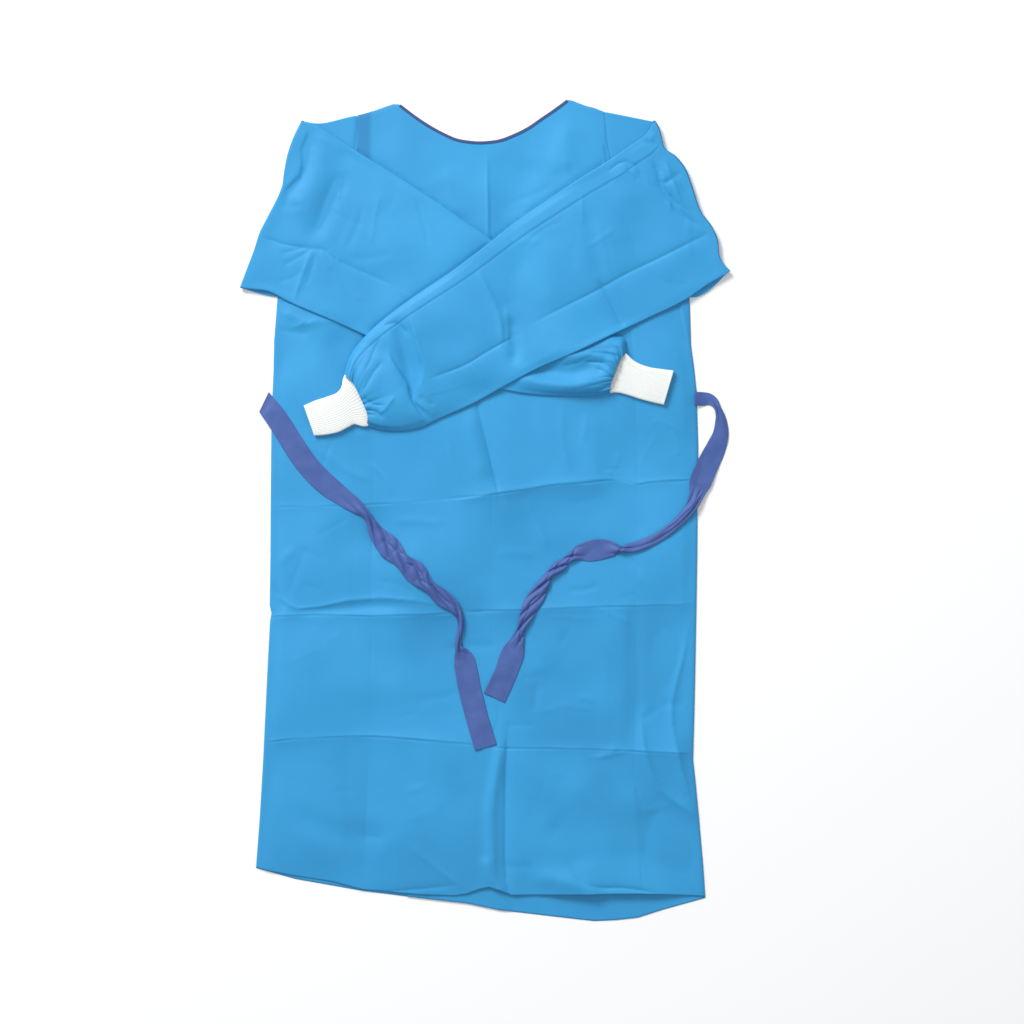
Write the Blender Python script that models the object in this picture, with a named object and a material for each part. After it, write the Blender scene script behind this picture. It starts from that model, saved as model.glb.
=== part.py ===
"""A surgical gown laid flat: front up, neck at +Y, both sleeves folded in over the chest and crossed.

Frame: metres, +Z up. +Y points to the neck, +X to the right as the gown is looked down on, and z = 0
is the surface it lies on. The tables below are in millimetres in that frame, and "left" and "right"
are those of someone looking down on it.

Every piece of cloth is a wall of even thickness. A flat piece is a grid of points with a second grid
straight above it. A sleeve or a cuff is a flattened tube: a grid for its outer face and one for its
inner face, with a row of points round the tube at each section.
"""

import math
from collections import namedtuple

import bmesh
import bpy
import numpy as np
from mathutils import Vector
from mathutils.bvhtree import BVHTree

MM = 0.001

# Cloth, in millimetres.
WALL = 1.2  # thickness of the gown's cloth as built
TAPE = 1.0  # thickness of the tie tape
TAPE_WIDTH = 32.0
BINDING_WIDTH = 5.0
SEAM_GAP = 0.3  # between two pieces that are sewn together
LAY_GAP = 0.5  # between a piece and what it lies on
LAYER = WALL + SEAM_GAP  # one cloth and the gap above it

# Levels of the undersides, in millimetres above the surface.
FRONT_LEVEL = LAYER
OVERLAP_LEVEL = LAYER
SLEEVE_LEVEL = 4.8  # a sleeve's second stretch, clear of everything flat below it
FLAT_SLEEVE = 2 * WALL + SEAM_GAP  # height of a sleeve pressed flat
TURN_RISE = 3.2  # height of a sleeve just past its fold

# The body. Columns are named by their X where the side seams meet the armholes.
UNDERARM_Y = 312.0
UNDERARM_STEP = 1.5  # least height of a panel above the underarm
LOWEST_ROW_Y = -440.0
OVERLAP_LEFT = -102.0  # free edge of the right back, on the inside
OVERLAP_RIGHT = 20.0  # free edge of the left back, on the surface
COLUMNS = (
    -303, -275, -245, -216, -187, -155, -123, -102, -81, -59, -35, -10,
    20, 40, 62, 81, 100, 119, 148, 174, 205, 237, 270, 299,
)
FRONT_ROWS = [-390, -344, -296, -240, -194, -148, -102, -50, -16, 24, 64, 120, 180, 240, UNDERARM_Y]
BACK_ROWS = [-260, -80, 120, UNDERARM_Y]
FRONT_HEM_STEPS = (0.0, 0.2, 0.45, 0.72, 1.0)
BACK_HEM_STEPS = (0.0, 1.0)
CHEST_STEPS = (0.25, 0.5, 0.75, 1.0)

Side = namedtuple("Side", "y left right")
SIDES = (
    Side(-600, -341, 324),
    Side(-565, -338, 322),
    Side(-515, -334, 319),
    Side(-449, -329, 312.5),
    Side(-363, -324, 304),
    Side(-290, -320.5, 306),
    Side(-218, -317, 307.5),
    Side(-150, -313, 308.7),
    Side(-72, -313.5, 310),
    Side(94, -312.5, 311.5),
    Side(203, -309, 305.5),
    Side(249, -308, 301),
    Side(UNDERARM_Y, -303, 299),
)

Hem = namedtuple("Hem", "x front back")
HEMS = (
    Hem(-341, -521, -521),
    Hem(-278, -533, -538),
    Hem(-177, -553, -557),
    Hem(-96, -560, -566),
    Hem(-26, -557, -574),
    Hem(12, -548, -582),
    Hem(40, -561, -586),
    Hem(89, -561, -592),
    Hem(158, -560, -600),
    Hem(221, -559, -595),
    Hem(259, -560, -583),
    Hem(324, -562, -565),
)

Neck = namedtuple("Neck", "x y")
NECKLINE = (
    Neck(-123, 593),
    Neck(-102, 577),
    Neck(-81, 563),
    Neck(-59, 551),
    Neck(-35, 542),
    Neck(-10, 539),
    Neck(20, 541.5),
    Neck(40, 549),
    Neck(62, 560),
    Neck(81, 573),
    Neck(100, 586),
    Neck(119, 600),
)
LEFT_SHOULDER = (-187, 577)
RIGHT_SHOULDER = (174, 582)
ARMHOLE_BOW = 30.0  # how far an armhole curves in towards the body

# Folds pressed or pushed up into the front: a ridge from one end to the other, its height and half width.
Ridge = namedtuple("Ridge", "x0 y0 x1 y1 height reach")
FRONT_RIDGES = (
    Ridge(-120, 24, 299, 24, 2.6, 44),
    Ridge(-303, -148, 299, -148, 3.0, 48),
    Ridge(-303, -344, 299, -344, 2.6, 44),
    Ridge(-245, -120, -123, -120, 2.4, 60),
    Ridge(20, -548, 40, -430, 3.0, 32),
)
HEM_MOUTH = namedtuple("Mouth", "x0 x1 height depth")(62, 299, 8.0, 110)

# Sleeves. A section runs from the sleeve's upper edge to its lower edge, as seen from above, and
# height is how thick the tube is in the middle, outside to outside.
Section = namedtuple("Section", "upper_x upper_y lower_x lower_y height")
LEFT_SLEEVE = (
    Section(-222, 547, -317, 320, 4.0),
    Section(-188, 525, -286, 305, 4.4),
    Section(-130, 489, -215, 274, 4.8),
    Section(-82, 457, -162, 253, 4.8),
    Section(-33, 424, -110, 231, 4.8),
    Section(18, 388, -55, 208, 5.0),
    Section(62, 352, -8, 189, 5.4),
    Section(102, 318, 32, 176, 7.0),
    Section(136, 288, 72, 169, 10.0),
    Section(164, 263, 112, 167, 13.5),
    Section(192, 254, 148, 167, 14.5),
    Section(204, 244, 171, 169, 11.5),
    Section(206, 227, 184, 173, 6.4),
)
RIGHT_SLEEVE = (
    Section(211, 532, 325, 330, 4.0),
    Section(187, 515, 295, 309, 4.4),
    Section(138, 484, 240, 281, 4.8),
    Section(90, 452, 186, 255, 5.0),
    Section(41, 418, 132, 230, 5.2),
    Section(-6, 380, 80, 209, 5.6),
    Section(-50, 347, 29, 181, 6.4),
    Section(-92, 319, -18, 155, 8.0),
    Section(-130, 292, -60, 138, 10.5),
    Section(-160, 268, -98, 120, 14.0),
    Section(-183, 245, -128, 116, 16.5),
    Section(-199, 219, -154, 118.5, 13.5),
    Section(-205.5, 196, -172, 124, 6.6),
)
LEFT_FOLD = (
    Neck(-267.5, 568.6), Neck(-288, 518), Neck(-295, 478), Neck(-317, 428), Neck(-336, 382), Neck(-357.4, 325),
)
RIGHT_FOLD = (
    Neck(248.5, 569), Neck(261, 530), Neck(289, 503.5), Neck(300, 476), Neck(330, 415), Neck(344, 372),
    Neck(358, 349),
)
LEFT_CUFF = (
    Section(206.6, 226.8, 184.8, 172.6, 6.4),
    Section(220, 217, 203, 171, 6.0),
    Section(240, 208.5, 228, 163, 5.6),
    Section(275, 203, 261, 155, 5.2),
)
RIGHT_CUFF = (
    Section(-206.2, 195.6, -172.9, 123.6, 6.6),
    Section(-209.5, 179, -195, 126, 6.2),
    Section(-230, 165, -214, 116, 5.8),
    Section(-264, 152, -249, 110, 5.4),
)
ACROSS = np.linspace(-1.0, 1.0, 9)  # places across a sleeve, from its lower edge to its upper edge
TURN_STEPS = (0.0, 60.0, 120.0, 180.0)

# Ties. Where a stop's width is less than the tape's, the tape is rolled under along both edges.
Stop = namedtuple("Stop", "x y width")
LEFT_TIE = (
    Stop(-295, 121, 32),
    Stop(-275, 88, 32),
    Stop(-253, 59, 32),
    Stop(-226, 34, 30),
    Stop(-197, 12, 25),
    Stop(-170, -10, 14),
    Stop(-156, -34, 17),
    Stop(-137, -55, 28),
    Stop(-118, -75, 17),
    Stop(-99, -91, 28),
    Stop(-79, -112, 14),
    Stop(-58, -129, 19),
    Stop(-41, -149, 13),
    Stop(-37, -172, 12),
    Stop(-40, -192, 13),
    Stop(-34, -211, 21),
    Stop(-28, -236, 32),
    Stop(-19, -284, 32),
    Stop(0, -346, 32),
)
RIGHT_TIE = (
    Stop(310.5, 163, 22),
    Stop(332, 158, 20),
    Stop(343.5, 142, 19),
    Stop(346.4, 118, 23),
    Stop(337.6, 92.8, 29),
    Stop(323, 63.6, 31),
    Stop(312.8, 37.3, 29),
    Stop(306, 15.3, 20),
    Stop(292, -6.6, 16),
    Stop(267.5, -30, 16),
    Stop(238, -47, 16),
    Stop(212, -55, 15),
    Stop(196, -57, 13),
    Stop(180, -56, 27),
    Stop(156, -59, 28),
    Stop(136, -62, 20),
    Stop(124, -69, 13),
    Stop(110, -81, 15),
    Stop(92, -96, 13),
    Stop(82, -113, 19),
    Stop(70, -134, 24),
    Stop(60, -154, 19),
    Stop(51.5, -175, 13),
    Stop(49, -192, 19),
    Stop(44, -212, 31),
    Stop(33, -241, 32),
    Stop(21, -274, 32),
)
LEFT_TIE_FOLD = (Neck(-329, 145.5), Neck(-316.5, 171.5))  # where the left tie turns over the side edge
TAPE_ACROSS = np.linspace(-0.5, 0.5, 9)
ROLL_SQUASH = 0.6  # a rolled tape's height, as a share of a round roll's

CLOTH_BLUE = (0.055, 0.39, 0.76, 1.0)
TAPE_VIOLET = (0.085, 0.155, 0.47, 1.0)
KNIT_WHITE = (0.93, 0.94, 0.93, 1.0)


# Making solids.


def material(name, colour, roughness):
    """A plain cloth finish: its colour, how dull it is, and no metal."""
    made = bpy.data.materials.new(name)
    made.use_nodes = True
    shader = made.node_tree.nodes["Principled BSDF"]
    shader.inputs["Base Color"].default_value = colour
    shader.inputs["Roughness"].default_value = roughness
    shader.inputs["Metallic"].default_value = 0.0
    made.diffuse_color = colour
    return made


def grid_faces(rows, columns, start, step=1):
    """Two triangles for each cell of a grid whose points are numbered row by row from start."""
    faces = []
    for row in range(rows - 1):
        for column in range(columns - 1):
            a = start + row * columns + column
            b, c, d = a + 1, a + columns + 1, a + columns
            faces += [(a, b, c)[::step], (a, c, d)[::step]]
    return faces


def strip_faces(first, second):
    """Two triangles between each pair of neighbours on two equally long runs of point numbers."""
    faces = []
    for k in range(len(first) - 1):
        faces += [(first[k], second[k], second[k + 1]), (first[k], second[k + 1], first[k + 1])]
    return faces


def make_solid(name, points, faces, finish):
    """One closed object from points in millimetres, with its faces turned outwards."""
    mesh = bpy.data.meshes.new(name)
    mesh.from_pydata((np.asarray(points) * MM).tolist(), [], faces)
    work = bmesh.new()
    work.from_mesh(mesh)
    bmesh.ops.remove_doubles(work, verts=work.verts, dist=1e-6)
    bmesh.ops.recalc_face_normals(work, faces=work.faces)
    work.to_mesh(mesh)
    work.free()
    mesh.shade_smooth()
    mesh.set_sharp_from_angle(angle=math.radians(40))
    mesh.materials.append(finish)
    made = bpy.data.objects.new(name, mesh)
    bpy.context.scene.collection.objects.link(made)
    return made


def sheet_solid(name, lower, upper, finish):
    """A wall between two grids of points with the same rows and columns, closed round its border."""
    rows, columns = lower.shape[:2]
    count = rows * columns
    faces = grid_faces(rows, columns, 0, -1) + grid_faces(rows, columns, count)
    numbers = np.arange(count).reshape(rows, columns)
    border = np.concatenate([numbers[0], numbers[1:, -1], numbers[-1, -2::-1], numbers[-2::-1, 0]]).tolist()
    faces += strip_faces(border, [k + count for k in border])
    points = np.concatenate([lower.reshape(-1, 3), upper.reshape(-1, 3)])
    return make_solid(name, points, faces, finish)


def tube_solid(name, outer, inner, finish):
    """A wall between two tubes, each a grid of sections by points round the tube, open at both ends."""
    outer = np.concatenate([outer, outer[:, :1]], axis=1)
    inner = np.concatenate([inner, inner[:, :1]], axis=1)
    rows, columns = outer.shape[:2]
    count = rows * columns
    faces = grid_faces(rows, columns, 0) + grid_faces(rows, columns, count, -1)
    numbers = np.arange(count).reshape(rows, columns)
    for end in (0, -1):
        faces += strip_faces(numbers[end].tolist(), (numbers[end] + count).tolist())
    points = np.concatenate([outer.reshape(-1, 3), inner.reshape(-1, 3)])
    return make_solid(name, points, faces, finish)


def tops_of(objects):
    """A search tree for each object, to find how high the things below a piece reach."""
    trees = []
    for thing in objects:
        corners = [vertex.co for vertex in thing.data.vertices]
        trees.append(BVHTree.FromPolygons(corners, [face.vertices for face in thing.data.polygons]))
    return trees


def height_under(trees, x, y, reach):
    """The highest level, in millimetres, of anything within reach of a place on the surface."""
    highest = 0.0
    for ring, share in ((1, 0.0), (8, 0.5), (12, 1.0)):
        for k in range(ring):
            angle = 2 * math.pi * k / ring
            start = Vector(((x + share * reach * math.cos(angle)) * MM, (y + share * reach * math.sin(angle)) * MM, 1))
            for tree in trees:
                hit = tree.ray_cast(start, Vector((0, 0, -1)))[0]
                if hit is not None:
                    highest = max(highest, hit.z / MM)
    return highest


# The body's outline.


def side_scale(column, y):
    """How much farther out a column lies at this y than at the underarm."""
    heights = [side.y for side in SIDES]
    if column < 0:
        return np.interp(y, heights, [side.left for side in SIDES]) / SIDES[-1].left
    return np.interp(y, heights, [side.right for side in SIDES]) / SIDES[-1].right


def body_x(column, y):
    """X of a column at a height y. Above the underarm the columns run straight."""
    return column * side_scale(column, min(y, UNDERARM_Y))


def hem_y(column, which):
    """Y of the front or back hem on a column."""
    x = body_x(column, HEMS[1].front)
    return float(np.interp(x, [row.x for row in HEMS], [getattr(row, which) for row in HEMS]))


def armhole(shoulder, share):
    """A place on an armhole seam, from the underarm (share 0) to the shoulder (share 1)."""
    side = -1 if shoulder[0] < 0 else 1
    low = np.array([SIDES[-1].left if side < 0 else SIDES[-1].right, UNDERARM_Y])
    high = np.array(shoulder, float)
    along = (high - low) / np.linalg.norm(high - low)
    into_body = side * np.array([-along[1], along[0]])
    share = np.atleast_1d(share)[:, None]
    return low + (high - low) * share + into_body * ARMHOLE_BOW * 4 * share * (1 - share)


def top_y(column):
    """Y of the body's upper edge on a column: armhole, shoulder, neckline, shoulder, armhole."""
    for shoulder in (LEFT_SHOULDER, RIGHT_SHOULDER):
        if abs(column) > abs(shoulder[0]) and column * shoulder[0] > 0:
            seam = armhole(shoulder, np.linspace(0, 1, 41))
            order = np.argsort(seam[:, 0])
            return float(np.interp(column, seam[order, 0], seam[order, 1]))
    edge = [LEFT_SHOULDER, *NECKLINE, RIGHT_SHOULDER]
    return float(np.interp(column, [place[0] for place in edge], [place[1] for place in edge]))


def neck_drop(column):
    """How far the neck binding takes the panel's edge down from the neckline."""
    return BINDING_WIDTH + SEAM_GAP if NECKLINE[0].x <= column <= NECKLINE[-1].x else 0.0


def panel_top(column):
    """Y of a body panel's own upper edge on a column, with the room for the neck binding taken off."""
    return max(top_y(column) - neck_drop(column), UNDERARM_Y + UNDERARM_STEP)


def body_grid(columns, rows, hem_steps, which):
    """Places (x, y) of a body panel: rows from the hem up, each with one place on every column."""
    lines = []
    for column in columns:
        hem = hem_y(column, which)
        top = panel_top(column)
        heights = [hem + (LOWEST_ROW_Y - hem) * step for step in hem_steps]
        heights += rows
        heights += [UNDERARM_Y + (top - UNDERARM_Y) * step for step in CHEST_STEPS]
        lines.append([(body_x(column, y), y) for y in heights])
    return np.array(lines, float).transpose(1, 0, 2)


# The body's levels.


def ridge_height(x, y, ridge):
    """A ridge's height at a place: full on its line, and none at its reach."""
    start, end = np.array([ridge.x0, ridge.y0], float), np.array([ridge.x1, ridge.y1], float)
    along = end - start
    share = np.clip(np.dot([x - start[0], y - start[1]], along) / np.dot(along, along), 0, 1)
    distance = np.hypot(*(np.array([x, y]) - start - share * along))
    return ridge.height * max(0.0, 1 - distance / ridge.reach)


def front_level(column, x, y):
    """Height of the front's underside: raised over the backs' overlap, on its ridges and at its hem."""
    over_backs = np.interp(column, [-155, -123, 40, 62], [0, LAYER, LAYER, 0])
    edge = np.interp(abs(column), [270, 299], [1, 0])
    ridges = max(ridge_height(x, y, ridge) for ridge in FRONT_RIDGES)
    across = np.interp(column, [HEM_MOUTH.x0, 148, 237, HEM_MOUTH.x1], [0, 1, 1, 0])
    mouth = HEM_MOUTH.height * across * np.clip(1 - (y - hem_y(column, "front")) / HEM_MOUTH.depth, 0, 1)
    return FRONT_LEVEL + over_backs + max(ridges * edge, mouth)


def overlap_level(column):
    """Height of the right back's underside: over the left back where they overlap, else on the surface."""
    return float(np.interp(column, [OVERLAP_RIGHT, OVERLAP_RIGHT + 20], [OVERLAP_LEVEL, 0]))


def panel(name, places, levels, finish):
    """A body panel from its places and the height of its underside at each."""
    lower = np.concatenate([places, levels[..., None]], axis=2)
    return sheet_solid(name, lower, lower + (0, 0, WALL), finish)


def build_front(finish):
    """The front, one piece from side seam to side seam."""
    places = body_grid(COLUMNS, FRONT_ROWS, FRONT_HEM_STEPS, "front")
    levels = np.array([[front_level(c, *place) for c, place in zip(COLUMNS, row)] for row in places])
    return panel("front", places, levels, finish)


def build_back(name, columns, level, finish):
    """One half of the back, from its side seam to its free edge. Its underside rests on the surface."""
    places = body_grid(columns, BACK_ROWS, BACK_HEM_STEPS, "back")
    levels = np.tile([level(column) for column in columns], (len(places), 1))
    return panel(name, places, levels, finish)


def build_binding(name, columns, level, thick, finish):
    """A stretch of the neck binding, beside the panel's edge, rounded along its length."""
    profile = ((0, 0.25), (0.25, 0), (0.75, 0), (1, 0.25), (1, 0.75), (0.75, 1), (0.25, 1), (0, 0.75))
    rings = []
    for column in columns:
        top = top_y(column)
        base = level(column)
        rings.append([(column, top - BINDING_WIDTH * across, base + thick * up) for across, up in profile])
    rings = np.array(rings, float)
    stations, around = rings.shape[:2]
    closed = np.concatenate([rings, rings[:, :1]], axis=1)
    faces = grid_faces(stations, around + 1, 0)
    for end in (0, stations - 1):
        faces.append(tuple(end * (around + 1) + k for k in range(around)))
    return make_solid(name, closed.reshape(-1, 3), faces, finish)


# Sleeves and cuffs.


def along_curve(points, shares):
    """Places at these shares of a broken line's length."""
    points = np.array(points, float)
    lengths = np.concatenate([[0], np.cumsum(np.hypot(*np.diff(points, axis=0).T))])
    wanted = np.asarray(shares) * lengths[-1]
    return np.stack([np.interp(wanted, lengths, points[:, k]) for k in (0, 1)], axis=1)


def tube_walls(bottom, top):
    """Outer and inner face of a flattened tube, from the grids of its lower and upper outer faces.

    Each grid has a row for every section and a place for every step across. The walls' inner faces
    lie one wall thickness in, and the two edges are blunt points half way up.
    """
    towards = top - bottom
    towards /= np.linalg.norm(towards, axis=2, keepdims=True)
    middle = (bottom + top) / 2
    outward = middle[:, -1:] - middle[:, :1]
    outward /= np.linalg.norm(outward, axis=2, keepdims=True)
    reach = FLAT_SLEEVE / 2
    inset = reach - 1.3 * WALL
    rings = []
    for low, high, edge in ((bottom, top, reach), (bottom + WALL * towards, top - WALL * towards, inset)):
        ends = [middle[:, -1:] + outward * edge, high[:, ::-1], middle[:, :1] - outward * edge]
        rings.append(np.concatenate([low, *ends], axis=1))
    return rings


def flat_section(section, gap=0.0):
    """Places across a section, drawn in at both edges by the room that the tube's blunt edge takes."""
    upper = np.array([section.upper_x, section.upper_y], float)
    lower = np.array([section.lower_x, section.lower_y], float)
    along = (upper - lower) / np.linalg.norm(upper - lower)
    inset = FLAT_SLEEVE / 2 + gap
    upper, lower = upper - inset * along, lower + inset * along
    return lower + (upper - lower) * (ACROSS[:, None] + 1) / 2


def crown(height):
    """Height of a tube at each step across: its middle height, falling to a flat tube's at its edges."""
    least = min(height, FLAT_SLEEVE + 0.4)
    return least + (height - least) * (1 - ACROSS**2) ** 0.8


def armhole_corners(shoulder):
    """The corners of the body panels along an armhole, from the underarm to the shoulder."""
    beyond = [c for c in COLUMNS if c * shoulder[0] > 0 and abs(c) >= abs(shoulder[0])]
    return [(column, panel_top(column)) for column in sorted(beyond, key=abs, reverse=True)]


def first_stretch(shoulder, fold):
    """Places of a sleeve's sections from the armhole out to the fold, and the way out of the body."""
    shares = (ACROSS + 1) / 2
    corners = np.array(armhole_corners(shoulder))
    along = (corners[-1] - corners[0]) / np.linalg.norm(corners[-1] - corners[0])
    inset = FLAT_SLEEVE / 2 / np.linalg.norm(corners[-1] - corners[0])
    outward = np.sign(shoulder[0]) * np.array([along[1], -along[0]])
    seam = along_curve(corners, inset + shares * (1 - 2 * inset)) + outward * 1.2 * SEAM_GAP
    edge = along_curve(fold[::-1], inset + shares * (1 - 2 * inset))
    towards = np.array([seam.mean(axis=0) - edge.mean(axis=0)])
    towards /= np.linalg.norm(towards)
    centre = edge + towards * (SLEEVE_LEVEL + TURN_RISE) / 2
    return [seam, (seam + centre) / 2, centre], -towards


def sleeve_walls(shoulder, fold, sections, levels):
    """Lower and upper outer face of a whole sleeve.

    The first stretch lies on the surface. At the fold both walls turn over on half circles about one
    line, so that the wall that was underneath comes out on top. levels gives the second stretch's
    underside for each of its sections.
    """
    places, outward = first_stretch(shoulder, fold)
    under = [np.column_stack([place, np.zeros(len(ACROSS))]) for place in places[:2]]
    over = [np.column_stack([place, np.full(len(ACROSS), FLAT_SLEEVE)]) for place in places[:2]]
    end_height = SLEEVE_LEVEL + TURN_RISE
    centre_z = (FLAT_SLEEVE + SLEEVE_LEVEL) / 2
    for degrees in TURN_STEPS:
        angle = math.radians(degrees)
        wide = np.interp(degrees, [0, 180], [centre_z, end_height - centre_z])
        narrow = (SLEEVE_LEVEL - FLAT_SLEEVE) / 2
        for walls, radius in ((under, wide), (over, narrow)):
            moved = places[2] + outward * radius * math.sin(angle)
            walls.append(np.column_stack([moved, np.full(len(ACROSS), centre_z - radius * math.cos(angle))]))
    for section, level in zip(sections, levels):
        place = flat_section(section)
        over.append(np.column_stack([place, level]))
        under.append(np.column_stack([place, level + crown(section.height)]))
    return np.array(under), np.array(over)


def resting_levels(sections, below, reach):
    """Level of a tube's underside at each place of each section, just above what it lies on."""
    trees = tops_of(below)
    rows = []
    for section in sections:
        heights = [height_under(trees, x, y, reach) + LAY_GAP for x, y in flat_section(section)]
        rows.append(np.maximum(heights, SLEEVE_LEVEL))
    return rows


def build_sleeve(name, shoulder, fold, sections, below, finish):
    """A sleeve: one flattened tube from the armhole to the gathered end that the cuff is sewn to."""
    levels = resting_levels(sections, below, 38.0)
    return tube_solid(name, *tube_walls(*sleeve_walls(shoulder, fold, sections, levels)), finish)


def build_cuff(name, sections, below, finish):
    """A cuff: a flattened tube of knit, flared where it is sewn to the sleeve, open at the wrist."""
    levels = resting_levels(sections, below, 14.0)
    bottom = np.array([np.column_stack([flat_section(s), level]) for s, level in zip(sections, levels)])
    rise = np.array([crown(section.height) for section in sections])
    top = bottom.copy()
    top[..., 2] += rise
    return tube_solid(name, *tube_walls(bottom, top), finish)


# Ties.


def tape_section(width):
    """A tape's cross-section as (sideways, up) of its underside and of its upper side.

    A tape that shows narrower than it is lies in an arc with its edges rolled under. The arc's radius
    is what gives the width that shows, and its height is squashed.
    """
    if width >= TAPE_WIDTH:
        flat = np.column_stack([TAPE_ACROSS * TAPE_WIDTH, np.zeros(len(TAPE_ACROSS))])
        return flat, flat + (0, TAPE)
    radius = (width - 2 * TAPE) / 2
    if width > TAPE_WIDTH * 2 / math.pi:
        shares = np.linspace(0.02, math.pi / 2, 200)
        half_angle = float(np.interp(-width / TAPE_WIDTH, -np.sin(shares) / shares, shares))
        radius = TAPE_WIDTH / 2 / half_angle
    angles = TAPE_ACROSS * min(TAPE_WIDTH / radius, 2 * math.radians(150))
    inner = np.column_stack([np.sin(angles) * radius, np.cos(angles) * radius])
    outer = np.column_stack([np.sin(angles), np.cos(angles)]) * (radius + TAPE)
    floor = min(inner[:, 1].min(), outer[:, 1].min())
    return (inner - (0, floor)) * (1, ROLL_SQUASH), (outer - (0, floor)) * (1, ROLL_SQUASH)


def tape_directions(stops):
    """Unit vectors along the tape at each stop, smoothed over its neighbours."""
    places = np.array([(stop.x, stop.y) for stop in stops], float)
    along = np.gradient(places, axis=0)
    return along / np.linalg.norm(along, axis=1, keepdims=True)


def tape_turn(fold, level):
    """Rows of a tape that comes out on the surface and turns over a fold line up to a level."""
    low, high = (np.array(end, float) for end in fold)
    across = (high - low) / np.linalg.norm(high - low)
    outward = np.array([-across[1], across[0]])
    line = (low + high) / 2 + TAPE_ACROSS[:, None] * TAPE_WIDTH * across
    centre_z = (level + TAPE) / 2
    lower, upper = [], []
    for degrees in TURN_STEPS:
        angle = math.radians(degrees)
        for rows, radius in ((lower, centre_z - TAPE), (upper, centre_z)):
            moved = line + outward * (radius * math.sin(angle) - centre_z)
            rows.append(np.column_stack([moved, np.full(len(line), centre_z - radius * math.cos(angle))]))
    return lower, upper


def build_tie(name, stops, fold, below, finish):
    """A waist tie lying on whatever is under it, rolled and unrolled along its length."""
    trees = tops_of(below)
    lower, upper = tape_turn(fold, FRONT_LEVEL + WALL + LAY_GAP) if fold else ([], [])
    for stop, along in zip(stops, tape_directions(stops)):
        across = np.array([-along[1], along[0]])
        under, over = tape_section(stop.width)
        spread = [stop.x + across[0] * side for side in (-10, 0, 10)]
        depth = [stop.y + across[1] * side for side in (-10, 0, 10)]
        heights = [height_under(trees, x, y, 17.0) for x, y in zip(spread, depth)]
        level = max(heights) + LAY_GAP if max(heights) > 0 else 0.0
        for face, rows in ((under, lower), (over, upper)):
            rows.append([(*(np.array([stop.x, stop.y]) + across * side), level + up) for side, up in face])
    return sheet_solid(name, np.array(lower), np.array(upper), finish)


def clear_scene():
    """Removes what the new scene holds."""
    for thing in list(bpy.data.objects):
        bpy.data.objects.remove(thing)


def main():
    """Builds the gown from the surface up, each piece on the ones already there."""
    clear_scene()
    cloth = [material(f"nonwoven_{k}", CLOTH_BLUE, 0.62) for k in range(5)]
    tape = [material(f"tape_{k}", TAPE_VIOLET, 0.7) for k in range(5)]
    knit = [material(f"rib_knit_{k}", KNIT_WHITE, 0.85) for k in range(2)]

    left_columns = [column for column in COLUMNS if column <= OVERLAP_RIGHT]
    right_columns = [column for column in COLUMNS if column >= OVERLAP_LEFT]
    back_left = build_back("back_left", left_columns, lambda column: 0.0, cloth[0])
    back_right = build_back("back_right", right_columns, overlap_level, cloth[1])
    front = build_front(cloth[2])

    neck_columns = [place.x for place in NECKLINE]
    binding_level = {c: front_level(c, c, top_y(c)) - SEAM_GAP for c in neck_columns}
    build_binding("neck_binding_front", neck_columns, binding_level.get, WALL + 2 * SEAM_GAP, tape[0])
    left_neck = [column for column in neck_columns if column <= OVERLAP_RIGHT]
    right_neck = [column for column in neck_columns if column >= OVERLAP_LEFT]
    build_binding("neck_binding_back_left", left_neck, lambda column: 0.0, WALL, tape[1])
    build_binding("neck_binding_back_right", right_neck, overlap_level, WALL, tape[2])

    body = [back_left, back_right, front]
    sleeve_left = build_sleeve("sleeve_left", LEFT_SHOULDER, LEFT_FOLD, LEFT_SLEEVE, body, cloth[3])
    cuff_left = build_cuff("cuff_left", LEFT_CUFF, body, knit[0])
    crossed = [*body, sleeve_left, cuff_left]
    sleeve_right = build_sleeve("sleeve_right", RIGHT_SHOULDER, RIGHT_FOLD, RIGHT_SLEEVE, crossed, cloth[4])
    build_cuff("cuff_right", RIGHT_CUFF, body, knit[1])

    tie_left = build_tie("tie_left", LEFT_TIE, LEFT_TIE_FOLD, [*body, sleeve_right], tape[3])
    build_tie("tie_right", RIGHT_TIE, None, [*body, tie_left], tape[4])


main()
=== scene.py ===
# %% [markdown]
# # A surgical gown, laid flat
#
# The gown lies front up, with its neck at +Y. Both sleeves are folded in over the chest and crossed, and
# the two waist ties come round the side edges and lie on the front. Cloth has no joints, so every piece
# rides on the one body, "root".
#
# Each piece below is a thin shell on the form of the CAD solid that it replaces.

# %% The frame
import math
from collections import namedtuple

import bpy
import numpy as np
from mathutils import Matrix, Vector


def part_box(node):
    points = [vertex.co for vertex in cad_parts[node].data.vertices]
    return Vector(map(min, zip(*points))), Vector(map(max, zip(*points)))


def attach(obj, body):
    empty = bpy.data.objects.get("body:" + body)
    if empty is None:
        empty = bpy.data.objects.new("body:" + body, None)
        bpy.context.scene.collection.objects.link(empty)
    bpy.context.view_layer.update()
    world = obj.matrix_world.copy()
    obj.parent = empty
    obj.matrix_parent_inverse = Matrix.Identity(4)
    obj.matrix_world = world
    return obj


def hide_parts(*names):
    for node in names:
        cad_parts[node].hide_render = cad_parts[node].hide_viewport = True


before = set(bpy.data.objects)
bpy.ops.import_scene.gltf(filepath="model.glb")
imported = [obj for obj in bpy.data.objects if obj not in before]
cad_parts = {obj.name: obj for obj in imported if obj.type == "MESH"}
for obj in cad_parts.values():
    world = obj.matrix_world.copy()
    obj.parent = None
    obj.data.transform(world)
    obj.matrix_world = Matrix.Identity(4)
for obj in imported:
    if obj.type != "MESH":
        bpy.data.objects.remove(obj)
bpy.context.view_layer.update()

BODY = "root"
MM = 0.001

print("nodes:", ", ".join(sorted(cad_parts)))
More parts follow.
